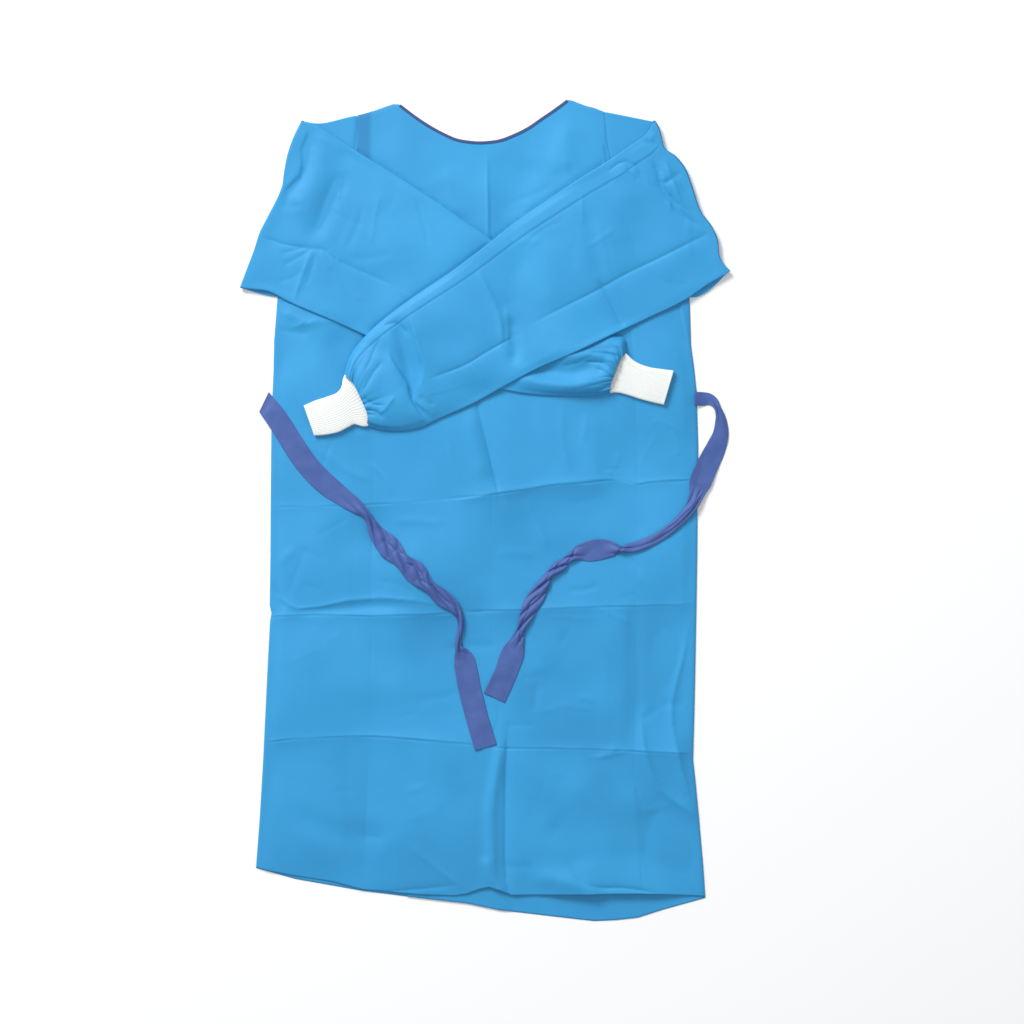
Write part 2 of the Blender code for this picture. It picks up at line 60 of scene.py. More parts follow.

# %% [markdown]
# ## Sizes
#
# All sizes are in millimetres. The levels say how the cloths are stacked: each back lies on the surface,
# the right back laps over the left one, the front lies over both, and the sleeves lie over the front.
# They are given as numbers, so that the shells stay on the CAD solids; the box of the front's solid is
# printed.

# %% Cloth and levels
CLOTH = 0.45
TAPE = 0.6
TAPE_WIDTH = 32.0
KNIT = 1.0
BINDING_WIDTH = 4.2

LAYER = 1.5  # one cloth of the solid model and the gap above it
FRONT_TOP = LAYER + 1.2
OVERLAP_LEFT, OVERLAP_RIGHT = -102.0, 20.0  # columns between which the two backs overlap
FLAT_SLEEVE = 2.7  # height of a sleeve pressed flat
SLEEVE_LEVEL = 4.8  # the least height of a sleeve's second stretch
TURN_RISE = 3.2  # height between the walls just past the sleeve's fold
UNDERARM_Y = 312.0
UNDER_BINDING = 1.2  # how far a panel's edge is set in under the neck binding
PANEL_GAP = 0.15  # and how far elsewhere, from the seam's own line
RESTING_GAP = 0.5  # from the highest thing below to a sleeve or a cuff
MAP_SPREAD = 4.0  # how far sideways a piece looks for what lies below it

front_low, front_high = (np.array(corner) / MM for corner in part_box("front"))
print("front solid, mm:", np.round(front_low, 1), np.round(front_high, 1))


# %% [markdown]
# ## Curves through hand-placed points
#
# A maker marks a few points and joins them with a smooth line. A Catmull-Rom curve does the same: it goes
# through every point, and at each it runs parallel to the line between that point's two neighbours.

# %% Smooth curves
def smooth_curve(points, shares):
    """Points on a Catmull-Rom curve at these shares of its length.

    The parameter is the length along the straight pieces. Between two points the curve is the cubic
    whose slope at each end is the slope from the point before to the point after.
    """
    points = np.array(points, float)
    lengths = np.concatenate([[0], np.cumsum(np.linalg.norm(np.diff(points[:, :2], axis=0), axis=1))])
    slopes = np.gradient(points, lengths, axis=0)
    wanted = np.clip(np.asarray(shares, float), 0, 1) * lengths[-1]
    k = np.clip(np.searchsorted(lengths, wanted, side="right") - 1, 0, len(points) - 2)
    span = (lengths[k + 1] - lengths[k])[:, None]
    t = (wanted - lengths[k])[:, None] / span
    ends = (2 * t**3 - 3 * t**2 + 1) * points[k] + (3 * t**2 - 2 * t**3) * points[k + 1]
    return ends + span * ((t**3 - 2 * t**2 + t) * slopes[k] + (t**3 - t**2) * slopes[k + 1])


def smooth_step(low, high, value):
    """0 at low, 1 at high, and an S-shaped ramp, 3s^2 - 2s^3, between them. Low may be the greater."""
    share = np.clip((np.asarray(value, float) - low) / (high - low), 0, 1)
    return share * share * (3 - 2 * share)


def line_value(points, x):
    """The second column of a table of points, read at x along the first."""
    points = np.array(points, float)
    return np.interp(x, points[:, 0], points[:, 1])


def crowded(count, ease=0.55):
    """Steps from 0 to 1 that crowd towards both ends: a blend of even steps and of a half cosine."""
    even = np.linspace(0, 1, count)
    return (1 - ease) * even + ease * (1 - np.cos(np.pi * even)) / 2


# %% [markdown]
# ## Creases
#
# Non-woven cloth keeps the folds that it was packed in. Each crease is a line of a few points with a
# profile across it. A ridge is round, a tent is sharp at its line and leans away on both sides, as a
# pressed fold does, and a step is high on one side only, as an edge of cloth underneath shows through.

# %% Relief of a cloth
Crease = namedtuple("Crease", "kind height width line")
CRUMPLE_WIDTH = 7.0  # a tent narrower than this is a straight-sided crumple
CREASE_REACH = 4.5  # a crease is worked out as far as this many of its widths


def crease_relief(x, y, creases):
    """Height added at each place by a list of creases.

    A narrow tent runs straight from point to point, as a crumple does, and every other crease bends
    smoothly. For every place near the line, its nearest point gives the distance d, the side and the
    share of the length. A ridge adds h exp(-(d/w)^2). A tent adds h (0.7 exp(-d/w) + 0.3 exp(-5d/w)),
    and a step adds h exp(-d/w) on the left of its line only. All fade out over a quarter at each end.
    """
    total = np.zeros(x.size)
    flat_x, flat_y = x.reshape(-1), y.reshape(-1)
    for crease in creases:
        straight = crease.kind == "tent" and crease.width < CRUMPLE_WIDTH
        line = np.array(crease.line, float) if straight else smooth_curve(
            crease.line, np.linspace(0, 1, 4 * len(crease.line)))
        room = CREASE_REACH * crease.width
        low, high = line.min(axis=0) - room, line.max(axis=0) + room
        inside = (flat_x > low[0]) & (flat_x < high[0]) & (flat_y > low[1]) & (flat_y < high[1])
        near = np.nonzero(inside)[0]
        if not len(near):
            continue
        px, py = flat_x[near], flat_y[near]
        lengths = np.concatenate([[0], np.cumsum(np.linalg.norm(np.diff(line, axis=0), axis=1))])
        nearest, signed, place = np.full(px.shape, np.inf), np.zeros_like(px), np.zeros_like(px)
        for k, (start, run) in enumerate(zip(line, np.diff(line, axis=0))):
            share = np.clip(((px - start[0]) * run[0] + (py - start[1]) * run[1]) / (run @ run), 0, 1)
            dx, dy = px - start[0] - share * run[0], py - start[1] - share * run[1]
            distance = np.hypot(dx, dy)
            closer = distance < nearest
            nearest = np.where(closer, distance, nearest)
            signed = np.where(closer, np.sign(run[0] * dy - run[1] * dx) * distance, signed)
            walked = (lengths[k] + share * (lengths[k + 1] - lengths[k])) / lengths[-1]
            place = np.where(closer, walked, place)
        if crease.kind == "ridge":
            profile = np.exp(-((nearest / crease.width) ** 2))
        elif crease.kind == "tent":
            profile = 0.7 * np.exp(-nearest / crease.width) + 0.3 * np.exp(-5 * nearest / crease.width)
        else:
            profile = np.exp(-nearest / crease.width) * smooth_step(-1.5, 1.5, signed)
        fade = smooth_step(0, 0.25, place) * smooth_step(0, 0.25, 1 - place)
        total[near] += crease.height * profile * fade
    return total.reshape(x.shape)


def swell(x, y, seed, height, longest=260.0, shortest=70.0, count=14):
    """Slow unevenness of a cloth that has been unfolded: a sum of sine waves in all directions.

    The waves' lengths are spread between the shortest and the longest, and a longer wave is higher.
    """
    rng = np.random.default_rng(seed)
    lengths = np.geomspace(shortest, longest, count)
    headings = rng.uniform(0, np.pi, count)
    phases = rng.uniform(0, 2 * np.pi, count)
    total = np.zeros_like(x)
    for length, heading, phase in zip(lengths, headings, phases):
        along = x * math.cos(heading) + y * math.sin(heading)
        total += length / longest * np.sin(2 * np.pi * along / length + phase)
    return height * total / math.sqrt(count / 6)


def small_creases(seed, count, low, high, heights=(0.15, 0.45), lengths=(25, 90)):
    """Short, faint creases at scattered places of a rectangle, each a little bent, of uneven size."""
    rng = np.random.default_rng(seed)
    creases = []
    for _ in range(count):
        middle = rng.uniform(low, high)
        heading = rng.normal(0, 0.5) + (0 if rng.random() < 0.6 else np.pi / 2)
        half = rng.uniform(*lengths) / 2 * np.array([math.cos(heading), math.sin(heading)])
        bend = rng.normal(0, 0.12) * np.array([-half[1], half[0]])
        height = rng.uniform(*heights) * rng.choice([-1, 1])
        line = (tuple(middle - half), tuple(middle + bend), tuple(middle + half))
        creases.append(Crease(rng.choice(["tent", "ridge"]), height, rng.uniform(2.5, 7), line))
    return creases


# %% [markdown]
# ## Where a piece rests
#
# A cloth lies on the highest thing under it and bridges the steps. A map of heights keeps, for each small
# square of the surface, how high the cloth laid so far reaches. To lay the next piece, the map is spread
# sideways, so that nothing pokes through, and then blurred, so that the piece bends softly.

# %% The map of heights
MAP_CELL = 4.0
MAP_CORNER = np.array([-400.0, -640.0])
MAP_SHAPE = (201, 321)
surface_map = np.zeros(MAP_SHAPE)


def shifted(field, x_cells, y_cells):
    """A map moved by whole squares, with its border repeated."""
    padded = np.pad(field, ((abs(x_cells),) * 2, (abs(y_cells),) * 2), mode="edge")
    x0, y0 = abs(x_cells) + x_cells, abs(y_cells) + y_cells
    return padded[x0:x0 + field.shape[0], y0:y0 + field.shape[1]]


def lay_down(grid):
    """Raises the map to a piece's points."""
    cells = np.rint((grid[..., :2] - MAP_CORNER) / MAP_CELL).astype(int).reshape(-1, 2)
    np.maximum.at(surface_map, (cells[:, 0], cells[:, 1]), grid[..., 2].reshape(-1))


def height_below(x, y, reach, softness, laid=None):
    """Height of what lies below each place, spread by reach and blurred over about softness.

    It reads the map as it is now, or an earlier copy of it.
    """
    laid = surface_map if laid is None else laid
    cells = int(math.ceil(reach / MAP_CELL))
    field = laid.copy()
    for x_cells in range(-cells, cells + 1):
        for y_cells in range(-cells, cells + 1):
            if math.hypot(x_cells, y_cells) <= cells + 0.2:
                field = np.maximum(field, shifted(laid, x_cells, y_cells))
    for _ in range(int((softness / MAP_CELL) ** 2 * 1.5)):
        field = (shifted(field, 1, 0) + field + shifted(field, -1, 0)) / 3
        field = (shifted(field, 0, 1) + field + shifted(field, 0, -1)) / 3
    u = np.clip((x - MAP_CORNER[0]) / MAP_CELL, 0, MAP_SHAPE[0] - 1.001)
    v = np.clip((y - MAP_CORNER[1]) / MAP_CELL, 0, MAP_SHAPE[1] - 1.001)
    i, j = u.astype(int), v.astype(int)
    a, b = u - i, v - j
    low = field[i, j] * (1 - a) + field[i + 1, j] * a
    high = field[i, j + 1] * (1 - a) + field[i + 1, j + 1] * a
    return low * (1 - b) + high * b


# %% [markdown]
# ## From a grid of points to a piece of cloth
#
# Every surface here is a grid: rows along the piece, columns across it. The grid's own spacing gives the
# UV map, in metres of cloth, so that embossing and ribs keep their size wherever the cloth turns. A
# Solidify modifier gives the sheet its thickness.

# %% Making a piece
def grid_quads(rows, columns, wrap):
    """Corner numbers of every cell, anticlockwise, with the last column joined to the first if wrap."""
    numbers = np.arange(rows * columns).reshape(rows, columns)
    across = np.concatenate([numbers, numbers[:, :1]], axis=1) if wrap else numbers
    corners = (across[:-1, :-1], across[:-1, 1:], across[1:, 1:], across[1:, :-1])
    return np.stack(corners, axis=-1).reshape(-1, 4)


def cloth_lengths(grid, wrap):
    """Metres of cloth along the rows and the columns up to each place, as UV coordinates."""
    closed = np.concatenate([grid, grid[:, :1]], axis=1) if wrap else grid
    across = np.linalg.norm(np.diff(closed, axis=1), axis=2).mean(axis=0)
    along = np.linalg.norm(np.diff(grid, axis=0), axis=2).mean(axis=1)
    u = np.concatenate([[0], np.cumsum(across)]) * MM
    v = np.concatenate([[0], np.cumsum(along)]) * MM
    return u, v


def cloth_piece(name, grid, thickness, finish, wrap=False, flip=False, **marks):
    """A piece of cloth from a grid of points in millimetres, at the origin, with its thickness inwards.

    Each mark is an amount for every point, which the finish reads by its name: "doubled" where two
    cloths lie together, and "seam" close to a seam.
    """
    rows, columns = grid.shape[:2]
    quads = grid_quads(rows, columns, wrap)
    u, v = cloth_lengths(grid, wrap)
    cells = len(u) - 1
    row, column = np.divmod(np.arange((rows - 1) * cells), cells)
    uv = np.stack([
        np.stack([u[column], v[row]], axis=1), np.stack([u[column + 1], v[row]], axis=1),
        np.stack([u[column + 1], v[row + 1]], axis=1), np.stack([u[column], v[row + 1]], axis=1),
    ], axis=1)
    if flip:
        quads, uv = quads[:, ::-1], uv[:, ::-1]
    mesh = bpy.data.meshes.new(name)
    mesh.from_pydata((grid.reshape(-1, 3) * MM).tolist(), [], quads.tolist())
    mesh.uv_layers.new(name="cloth").data.foreach_set("uv", uv.reshape(-1))
    for mark, amounts in marks.items():
        mesh.attributes.new(mark, "FLOAT", "POINT").data.foreach_set("value", amounts.reshape(-1))
    mesh.shade_smooth()
    mesh.materials.append(finish)
    piece = bpy.data.objects.new(name, mesh)
    bpy.context.scene.collection.objects.link(piece)
    if thickness:
        wall = piece.modifiers.new("thickness", "SOLIDIFY")
        wall.thickness = thickness * MM
        wall.offset = -1.0
    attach(piece, BODY)
    area = sum(face.area for face in mesh.polygons)
    print(f"{name}: {len(quads)} cells, {area:.3f} m2 of surface, up to {grid[..., 2].max():.1f} mm high")
    return piece


# %% [markdown]
# ## Shader maths as expressions
#
# A material is a formula worked out at every point. Wrapping a socket in a small class lets the formula
# be written as one, and each operator adds the Math node that it stands for.

# %% Sockets that can be added and multiplied
class Value:
    """A number that varies over a surface."""

    def __init__(self, finish, socket):
        self.finish, self.socket = finish, socket

    def math(self, operation, *others):
        node = self.finish.node("Math", {"operation": operation}, dict(enumerate([self, *others])))
        return Value(self.finish, node.outputs[0])

    def __add__(self, other):
        return self.math("ADD", other)

    def __sub__(self, other):
        return self.math("SUBTRACT", other)

    def __mul__(self, other):
        return self.math("MULTIPLY", other)

    __radd__, __rmul__ = __add__, __mul__


class Finish:
    """A material under construction: one method adds any node, with its settings and its inputs."""

    def __init__(self, name):
        self.material = bpy.data.materials.new(name)
        self.material.use_nodes = True
        self.tree = self.material.node_tree
        self.shader = self.tree.nodes["Principled BSDF"]

    def node(self, kind, settings=None, inputs=None):
        made = self.tree.nodes.new("ShaderNode" + kind)
        for key, value in (settings or {}).items():
            setattr(made, key, value)
        for key, value in (inputs or {}).items():
            self.put(made.inputs[key], value)
        return made

    def put(self, socket, value):
        if isinstance(value, Value):
            self.tree.links.new(value.socket, socket)
        elif isinstance(value, bpy.types.NodeSocket):
            self.tree.links.new(value, socket)
        else:
            socket.default_value = value

    def value(self, kind, output=0, settings=None, inputs=None):
        return Value(self, self.node(kind, settings, inputs).outputs[output])

    def cloth_place(self):
        """The place on the cloth, in metres, as separate numbers u and v."""
        place = self.node("UVMap", {"uv_map": "cloth"}).outputs["UV"]
        parts = self.node("SeparateXYZ", None, {0: place})
        return place, Value(self, parts.outputs[0]), Value(self, parts.outputs[1])

    def noise(self, vector, scale, detail=2.0, roughness=0.5):
        inputs = {"Vector": vector, "Scale": scale, "Detail": detail, "Roughness": roughness}
        return self.value("TexNoise", "Fac", {"noise_dimensions": "3D"}, inputs)

    def waves(self, coordinate, pitch):
        """A wave between -1 and 1 that repeats every pitch metres."""
        return (coordinate * (2 * math.pi / pitch)).math("SINE")

    def blend(self, factor, first, second):
        """A colour between two others."""
        node = self.node("Mix", {"data_type": "RGBA"}, {0: factor, 6: first, 7: second})
        return node.outputs[2]

    def raise_surface(self, height, distance, strength=1.0, normal=None):
        """Feeds a height into the normal, as relief of this depth in metres."""
        inputs = {"Height": height, "Distance": distance, "Strength": strength}
        if normal is not None:
            inputs["Normal"] = normal
        return self.node("Bump", None, inputs).outputs[0]

    def set(self, **values):
        for name, value in values.items():
            self.put(self.shader.inputs[name.replace("_", " ")], value)
        return self.material


# %% [markdown]
# ## The gown's cloth
#
# The cloth is a non-woven: fine plastic fibres laid at random and bonded by a roller with small raised
# points, which leaves a grid of tiny dimples. It is dull with a faint sheen, and slightly cloudy: partly
# where the fibres lie thicker, partly painted sheen in soft lighter patches. Where cloth is doubled, as in a
# seam, less light comes through and it looks darker.

# %% Non-woven finish
CLOTH_BLUE = (0.022, 0.262, 0.548, 1.0)
# lighter blue: partly the thinner fibre clouds, partly painted sheen
CLOTH_THIN_AND_SHEEN = (0.030, 0.328, 0.655, 1.0)
CLOTH_DOUBLED = (0.014, 0.180, 0.420, 1.0)
BOND_PITCH = 0.0016


def nonwoven_finish(name):
    finish = Finish(name)
    place, u, v = finish.cloth_place()
    clouds = finish.noise(place, 9.0, 3.0, 0.55)
    mottle = finish.noise(place, 420.0, 3.0, 0.65)
    fibres = finish.noise(place, 1900.0, 2.0, 0.7)
    bonds = finish.waves(u + v, BOND_PITCH) * finish.waves(u - v, BOND_PITCH)
    bonds = bonds.math("MAXIMUM", 0.0)
    patches = finish.noise(place, 3.2, 1.0, 0.5)
    # the clouds and patches mix the fibres' random tone with painted sheen in soft lighter patches
    cloudy = (clouds - 0.5) * 1.2 + (patches - 0.5) * 1.2 + (mottle - 0.5) * 0.5 + 0.5
    colour = finish.blend(cloudy.math("MAXIMUM", 0.0).math("MINIMUM", 1.0), CLOTH_BLUE, CLOTH_THIN_AND_SHEEN)
    doubled = finish.value("Attribute", "Fac", {"attribute_name": "doubled"})
    seam = finish.value("Attribute", "Fac", {"attribute_name": "seam"})
    darker = (doubled + seam * 0.22 + bonds * 0.10).math("MINIMUM", 1.0)
    colour = finish.blend(darker, colour, CLOTH_DOUBLED)
    pucker = seam * (finish.waves(v, 0.0065) * 0.3 + finish.noise(place, 240.0, 1.0, 0.5))
    puckered = finish.raise_surface(pucker, 0.0005, 0.4)
    relief = finish.raise_surface(fibres * 0.5 + mottle * 0.5 - bonds * 0.6, 0.00016, 0.55, puckered)
    return finish.set(
        Base_Color=colour,
        Roughness=0.58 + (mottle - 0.5) * 0.12,
        Metallic=0.0,
        Normal=relief,
        Sheen_Weight=0.05,
        Sheen_Roughness=0.5,
        IOR=1.42,
    )


# %% [markdown]
# ## The tape
#
# Ties and neck binding are cut from a denser, violet-blue tape. Its bonded lines run along it.

# %% Tape finish
TAPE_VIOLET = (0.040, 0.084, 0.290, 1.0)
TAPE_LIGHT = (0.062, 0.122, 0.370, 1.0)


def tape_finish(name, shade=1.0):
    """The tape's finish. Folded and sewn flat in the neck binding, it looks a shade darker."""
    finish = Finish(name)
    dark, light = ((*(shade * part for part in colour[:3]), 1.0) for colour in (TAPE_VIOLET, TAPE_LIGHT))
    place, u, v = finish.cloth_place()
    clouds = finish.noise(place, 38.0, 3.0, 0.6)
    mottle = finish.noise(place, 700.0, 3.0, 0.65)
    lines = finish.waves(u, 0.0011) * finish.waves(v, 0.0023)
    cloudy = (clouds - 0.5) * 1.6 + (mottle - 0.5) * 0.6 + 0.4
    colour = finish.blend(cloudy.math("MAXIMUM", 0.0).math("MINIMUM", 1.0), dark, light)
    relief = finish.raise_surface(mottle * 0.6 + lines * 0.4, 0.00014, 0.6)
    return finish.set(
        Base_Color=colour, Roughness=0.66 + (mottle - 0.5) * 0.1, Metallic=0.0, Normal=relief,
        Sheen_Weight=0.10, Sheen_Roughness=0.5,
    )


# %% [markdown]
# ## The knit
#
# The cuffs are white rib knit. The ribs are real relief in the mesh, and each rib carries the small
# slanted stitches of the knit as bump, one stitch to about a millimetre.

# %% Rib-knit finish
KNIT_WHITE = (0.80, 0.825, 0.80, 1.0)
# grey of the painted shade that dims the white knit in soft patches
KNIT_PAINTED_SHADE = (0.68, 0.71, 0.69, 1.0)


def knit_finish(name):
    finish = Finish(name)
    place, u, v = finish.cloth_place()
    stitches = finish.waves(v, 0.0011) * 0.5 + finish.waves(u, 0.0009) * 0.3
    fuzz = finish.noise(place, 900.0, 3.0, 0.7)
    # painted shade: soft grey patches over the knit, beside the fine random fuzz tone
    painted_shade = finish.noise(place, 30.0, 2.0, 0.5)
    colour = finish.blend((painted_shade - 0.35) * 0.5 + (fuzz - 0.5) * 0.5, KNIT_WHITE, KNIT_PAINTED_SHADE)
    relief = finish.raise_surface(stitches * 0.5 + fuzz * 0.5, 0.00030, 0.7)
    return finish.set(
        Base_Color=colour, Roughness=0.86 + (fuzz - 0.5) * 0.1, Metallic=0.0, Normal=relief,
        Sheen_Weight=0.25, Sheen_Roughness=0.6,
    )


gown_cloth = nonwoven_finish("nonwoven blue")
tie_tape = tape_finish("violet tape")
neck_tape = tape_finish("violet neck tape", 0.6)
rib_knit = knit_finish("white rib knit")
print("finishes:", gown_cloth.name, "/", tie_tape.name, "/", rib_knit.name)

# %% [markdown]
# ## The body's outline
#
# The body is cut wide and straight: a little flare from the underarms to the hem, two armholes, sloping
# shoulders and a shallow scooped neck. A place on a panel is named by its column, which is its X at the
# underarm, and its Y, so the same column is the same line of cloth on the front and on the backs.

# %% Outline tables
SIDE_LEFT = (
    (-600, -341), (-565, -338), (-515, -334), (-449, -329), (-363, -324), (-290, -320.5), (-218, -317),
    (-162, -314), (-150, -312), (-138, -314.5), (-72, -313.5), (15, -313), (132, -312), (203, -309),
    (249, -308), (UNDERARM_Y, -303),
)
SIDE_RIGHT = (
    (-600, 324), (-565, 322), (-515, 318.6), (-449, 312.6), (-400, 308), (-363, 304), (-290, 306),
    (-218, 307.5), (-150, 308.7), (-72, 310), (94, 311.6), (176, 309), (210, 305.5), (242, 301),
    (UNDERARM_Y, 299),
)
FRONT_HEM = (
    (-341, -519), (-318, -525), (-278, -533), (-222, -541.5), (-177, -553), (-96, -560), (-45, -562),
    (-26, -559), (-8, -552), (6, -549), (20, -553), (39, -561), (89, -560.5), (162, -559), (221, -558.5),
    (259, -559.5), (324, -563),
)
BACK_HEM = (
    (-341, -521), (-278, -538), (-177, -556), (-96, -566), (-26, -574), (22, -584), (89, -592),
    (158, -600), (190, -598.5), (221, -595), (259, -583), (324, -565),
)
NECKLINE = (
    (-123, 593), (-102, 577), (-81, 563), (-59, 551), (-40, 543), (-23, 540), (-10, 539), (4, 539.5),
    (21, 542), (40, 549), (62, 560), (81, 573), (100, 586), (119, 600),
)
LEFT_SHOULDER = ((-187, 577), (-172, 581), (-159, 585), (-145, 590), (-134, 593.5), (-123, 593))
RIGHT_SHOULDER = ((119, 600), (127, 599), (148, 591), (160, 588), (174, 582.5))
ARMHOLE_BOW = 30.0


def armhole(side, share):
    """Places on an armhole seam, a shallow arc from the underarm (share 0) to the shoulder (share 1).

    The arc is the straight line between its ends, moved into the body by 4 s (1 - s) times the bow.
    """
    low = np.array([SIDE_LEFT[-1][1] if side < 0 else SIDE_RIGHT[-1][1], UNDERARM_Y])
    high = np.array(LEFT_SHOULDER[0] if side < 0 else RIGHT_SHOULDER[-1], float)
    along = (high - low) / np.linalg.norm(high - low)
    inwards = side * np.array([-along[1], along[0]])
    share = np.asarray(share, float)[..., None]
    return low + (high - low) * share + inwards * ARMHOLE_BOW * 4 * share * (1 - share)


def top_edge(column):
    """Y of the body's upper edge: armhole, shoulder, neckline, shoulder and armhole."""
    steps = np.linspace(0, 1, 60)
    left, right = armhole(-1, steps), armhole(1, steps)[::-1]
    neck = smooth_curve(NECKLINE, np.linspace(0, 1, 90))
    edge = np.concatenate([left, LEFT_SHOULDER[1:-1], neck, RIGHT_SHOULDER[1:-1], right])
    return np.interp(column, edge[:, 0], edge[:, 1])


def body_x(column, y):
    """X of a column: it spreads with the side seam below the underarm and is straight above it."""
    level = np.minimum(y, UNDERARM_Y)
    left = line_value(SIDE_LEFT, level) / SIDE_LEFT[-1][1]
    right = line_value(SIDE_RIGHT, level) / SIDE_RIGHT[-1][1]
    return column * np.where(column < 0, left, right)


def hem_edge(column, table):
    """Y of a hem on each column."""
    return line_value(table, body_x(column, np.full_like(column, -540.0)))


# %% [markdown]
# ## Packing creases
#
# The gown was packed folded across in three places and lengthwise in three. The grid's rows run along the
# cross folds and some of its columns along the lengthwise ones, so that each fold is a sharp line of the
# mesh. Unfolded, each patch of cloth between the folds keeps a slight bow, up or down.

# %% Lines of the packing folds
CHEST_FOLD = (
    (-320, 6), (-210, 8), (-118, 12.4), (7, 24), (53, 31), (102, 39), (143, 42), (181, 46), (218, 39),
    (235, 42), (320, 47),
)
THIGH_FOLD = (
    (-330, -158), (-291, -153), (-241, -151), (-164, -153), (-72, -150), (4, -145), (53, -144),
    (137, -140), (228, -138), (320, -134),
)
SHIN_FOLD = (
    (-335, -341), (-262, -332.5), (-178, -328), (-129, -330), (-79, -335), (-26, -339), (29, -346),
    (114, -346), (199, -349), (276, -353), (325, -355),
)
LENGTH_FOLDS = (-160.0, 8.0, 212.0)
ROWS_BETWEEN_FOLDS = (84, 76, 68, 134)
COLUMNS_BETWEEN_FOLDS = (62, 72, 82, 40)

# Millimetres by which each patch bows at its middle: rows from the hem up, from the left to the right.
PATCH_BOWS = (
    (2.6, 4.4, 5.2, -4.0),
    (3.4, -3.8, 5.4, -4.4),
    (4.4, 5.0, -5.2, 3.8),
    (2.4, 2.6, 3.0, 2.2),
)
# Height of each crossing of the folds: rows hem, shin, thigh, chest, neck; columns side, three folds, side.
FOLD_CROSSINGS = (
    (0.0, 0.5, 1.5, 0.8, 0.0),
    (0.2, 1.2, 2.6, 2.2, 0.2),
    (0.6, 1.6, 3.2, 2.4, 0.4),
    (0.2, 1.0, 3.6, 2.6, 0.4),
    (0.0, 0.6, 1.4, 0.4, 0.0),
)


def between(knots, counts):
    """Steps that run through all the knots, crowded at each."""
    spans = zip(knots, knots[1:], counts)
    parts = [low + (high - low) * crowded(count + 1)[:-1] for low, high, count in spans]
    return np.concatenate([*parts, [knots[-1]]])


def body_places(columns, hem, top, counts=ROWS_BETWEEN_FOLDS):
    """X, Y, column and row step of every point of a panel, with rows along the three cross folds."""
    column = np.asarray(columns, float)
    across = [line_value(table, column) for table in (SHIN_FOLD, THIGH_FOLD, CHEST_FOLD)]
    folds = np.array([hem, *across, top])
    steps = between(np.arange(5.0), counts)
    k = np.clip(steps.astype(int), 0, 3)
    part = (steps - k)[:, None]
    y = folds[k] * (1 - part) + folds[k + 1] * part
    column = np.broadcast_to(column, y.shape)
    return body_x(column, y), y, column, np.broadcast_to(steps[:, None], y.shape)


def patch_relief(column, step):
    """Relief of the patches between folds.

    The fold crossings are joined by straight lines, h = (1-u)(1-v) a + u(1-v) b + (1-u)v c + uv d, and
    each patch adds its bow times 16 u(1-u) v(1-v), so the surface bends sharply at every fold.
    """
    knots = np.array([SIDE_LEFT[-1][1], *LENGTH_FOLDS, SIDE_RIGHT[-1][1]])
    i = np.clip(step.astype(int), 0, 3)
    j = np.clip(np.searchsorted(knots, column, side="right") - 1, 0, 3)
    v = step - i
    u = np.clip((column - knots[j]) / (knots[j + 1] - knots[j]), 0, 1)
    heights, bows = np.array(FOLD_CROSSINGS), np.array(PATCH_BOWS)
    low = heights[i, j] * (1 - u) + heights[i, j + 1] * u
    high = heights[i + 1, j] * (1 - u) + heights[i + 1, j + 1] * u
    return low * (1 - v) + high * v + bows[i, j] * 16 * u * (1 - u) * v * (1 - v)


# %% [markdown]
# ## The front
#
# The front lies on the backs, a little higher where the two backs overlap. Its side edges turn down to the
# side seams. The cross folds stand as low tents, each higher in one stretch than in another.

